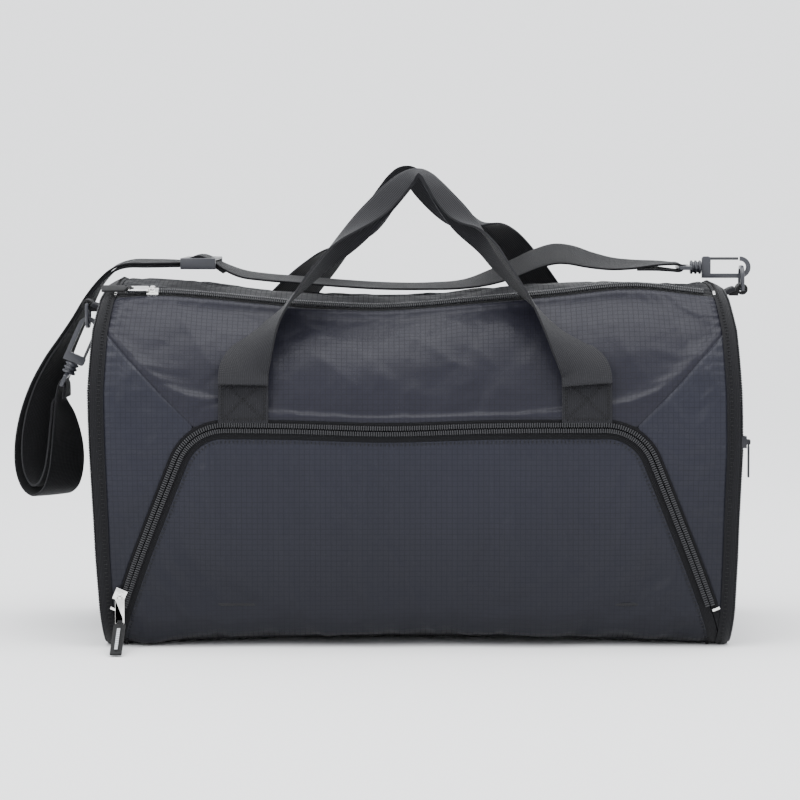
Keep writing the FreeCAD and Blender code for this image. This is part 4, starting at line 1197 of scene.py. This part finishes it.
softened("main_zip_slider", SILVER, "main_slider", 0.45)
softened("main_zip_pull", SILVER, "main_pull", 0.35)
softened("pocket_zip_slider", SILVER, "pocket_slider", 0.45)
softened("pocket_zip_pull", SILVER, "pocket_pull", 0.35)
softened("main_zip_tab", TAB_WEBBING, "main_tab", 0.3)
softened("pocket_zip_tab", TAB_WEBBING, "pocket_tab", 0.3)
for side in ("left", "right"):
    softened(f"{side}_end_zip_slider", DARK_METAL, f"{side}_end_slider", 0.45)
    softened(f"{side}_end_zip_pull", DARK_METAL, f"{side}_end_pull", 0.35)
    softened(f"{side}_d_ring", PLASTIC, f"{side}_ring", 0.85)
    softened(f"{side}_hook", PLASTIC, f"{side}_hook", 0.7)
    softened(f"{side}_hook_gate", GATE, f"{side}_gate", 0.5)
    softened(f"{side}_swivel", PLASTIC, "bag", 0.6)
    softened(f"{side}_ring_tab", RING_WEBBING, "bag", 0.4)
    softened(f"main_zip_{side}_stop", SILVER, "bag", 0.3)
    softened(f"pocket_zip_{side}_stop", SILVER, "bag", 0.3)
softened("strap_buckle", PLASTIC, "buckle", 0.6)
softened("pocket_lining", LINING, "bag", 0.4)


RING_ROOTS = {
    "left": [(-232, 248), (-241, 250.5), (-249, 254.6), (-254, 256.5)],
    "right": [(228, 256), (238, 260), (247, 267), (252, 268.8)],
}
for side, places in RING_ROOTS.items():
    root = strap(f"{side}_ring_tab_root", [(x, 0, z, 0, 1, 0, 0) for x, z in places], 25, 3.4, 30, -1, 8)
    finish_piece(root, f"{side}_ring_tab_root", WEBBING, "bag")


def tab_stripe(name, tab, body, hinge, way, across, start, end, wide):
    """Plain pale stripe woven along a zip tab, on the face turned up."""
    hinge, way, across = Vector(hinge) * MM, Vector(way).normalized(), Vector(across).normalized()
    up = way.cross(across)
    up = up if up.z > 0 else -up
    face = max((vertex.co - hinge).dot(up) for vertex in bpy.data.objects[tab].data.vertices)

    def lay(u, v):
        share = (start + (end - start) * v)[:, None] * MM
        side = ((u - 0.5) * wide)[:, None] * MM
        spot = np.array(hinge) + share * np.array(way) + side * np.array(across)
        spot = spot + (face + 0.00005) * np.array(up)
        return spot / MM, np.stack([u * wide, v * (end - start)], axis=-1)

    stripe = sheet_grid(name, 4, 24, lay)
    turned_out(stripe, lambda spot: up)
    thicken(stripe, 0.3, 0.0)
    apply_all(stripe)
    finish_piece(stripe, name, PALE, body)


lean = math.radians(69)
tab_stripe(
    "pocket_tab_stripe", "pocket_zip_tab_finish", "pocket_tab", (-224.29464, -130.9, 19.75),
    (0, -math.sin(lean), -math.cos(lean)), (1, 0, 0), 13, 46, 2.4,
)


def swivel_ribs(side, nose, lean):
    """Three rolled ribs around a swivel barrel, from its hook's nose and how it lies."""
    way = Vector(lean).normalized()
    turn = way.to_track_quat("Z", "Y").to_matrix().to_4x4()
    made = None
    for out in (31.6, 34.9, 38.2):
        free_hands()
        spot = Vector(nose) + way * out
        bpy.ops.mesh.primitive_torus_add(
            major_radius=4.35 * MM, minor_radius=1.15 * MM, major_segments=40, minor_segments=12,
            location=spot * MM, rotation=turn.to_euler(),
        )
        rib = bpy.context.object
        bpy.ops.object.transform_apply(location=True, rotation=True, scale=True)
        if made:
            free_hands()
            rib.select_set(True)
            made.select_set(True)
            bpy.context.view_layer.objects.active = made
            bpy.ops.object.join()
        else:
            made = rib
    bpy.ops.object.shade_smooth()
    finish_piece(made, f"{side}_swivel_ribs", PLASTIC, "bag")


swivel_ribs("right", (256.2, 0, 285.5), (-1, 0, 0))
swivel_ribs("left", (-257.5, 0, 237.7), (-0.4067366, 0, -0.9135455))

# ---------------------------------------------------------------- studio, metres
SWEEP_SIDE = 24
WALL_HEIGHT = 9
WALL_FORWARD = 4.5

free_hands()
bpy.ops.mesh.primitive_plane_add(size=1, location=(0, 0, 0))
floor = bpy.context.object
floor.name = "studio_sweep"
bpy.ops.object.mode_set(mode="EDIT")
bpy.ops.mesh.select_all(action="SELECT")
bpy.ops.transform.resize(value=(SWEEP_SIDE, SWEEP_SIDE, 1))
bpy.ops.mesh.select_all(action="DESELECT")
bpy.ops.object.mode_set(mode="OBJECT")
for edge in floor.data.edges:
    ys = [floor.data.vertices[i].co.y for i in edge.vertices]
    edge.select = min(ys) > SWEEP_SIDE / 2 - 0.1
bpy.ops.object.mode_set(mode="EDIT")
bpy.ops.mesh.select_mode(type="EDGE")
bpy.ops.mesh.extrude_region_move(TRANSFORM_OT_translate={"value": (0, 0, WALL_HEIGHT)})
bpy.ops.mesh.select_all(action="SELECT")
bpy.ops.mesh.normals_make_consistent(inside=True)
bpy.ops.object.mode_set(mode="OBJECT")
for vertex in floor.data.vertices:
    vertex.co.y -= WALL_FORWARD if vertex.co.y > 0 else 0
sweep = floor.modifiers.new("sweep", "BEVEL")
sweep.width = 3.2
sweep.segments = 24
bpy.ops.object.modifier_apply(modifier="sweep")
bpy.ops.object.shade_smooth()
pale, _, _, pale_shader = material("pale_sweep")
pale_shader.inputs["Base Color"].default_value = (0.94, 0.94, 0.94, 1)
pale_shader.inputs["Roughness"].default_value = 0.9
pale_shader.inputs["Specular IOR Level"].default_value = 0.1
floor.data.materials.append(pale)

world = bpy.data.worlds.new("studio")
bpy.context.scene.world = world
world.use_nodes = True
sky = world.node_tree.nodes["Background"]
sky.inputs["Color"].default_value = (0.9, 0.92, 0.95, 1)
sky.inputs["Strength"].default_value = 1.75


def soft_light(name, spot, aim, size, power, tint=(1, 1, 1)):
    lamp = bpy.data.lights.new(name, "AREA")
    lamp.shape = "RECTANGLE"
    lamp.size, lamp.size_y = size
    lamp.energy = power
    lamp.color = tint
    thing = bpy.data.objects.new(name, lamp)
    bpy.context.collection.objects.link(thing)
    thing.location = spot
    thing.rotation_euler = (Vector(aim) - Vector(spot)).to_track_quat("-Z", "Y").to_euler()
    return thing


soft_light("overhead_bank", (0.0, -0.3, 2.4), (0, 0, 0.1), (2.6, 2.0), 72)
soft_light("front_left_bank", (-1.6, -2.2, 1.6), (0, 0, 0.15), (1.4, 1.4), 24)
soft_light("front_right_bank", (1.9, -1.8, 1.2), (0, 0, 0.15), (1.2, 1.4), 12)
soft_light("backdrop_wash", (0.0, 3.6, 4.4), (0, 7.2, 1.6), (6.0, 2.0), 130)

# ---------------------------------------------------------------- camera
lens = bpy.data.cameras.new("view")
view = bpy.data.objects.new("view", lens)
bpy.context.collection.objects.link(view)
bpy.context.scene.camera = view
SENSOR = 36
TILT = math.radians(4.0)
AWAY = 3.0
FRAME_WIDTH = 0.6116
lens.sensor_width = SENSOR
lens.lens = SENSOR * AWAY / FRAME_WIDTH
aim = Vector((-0.0115, -0.10, 0.1875))
view.location = aim + Vector((0, -math.cos(TILT), math.sin(TILT))) * AWAY
view.rotation_euler = (math.pi / 2 - TILT, 0, 0)
lens.clip_end = 60
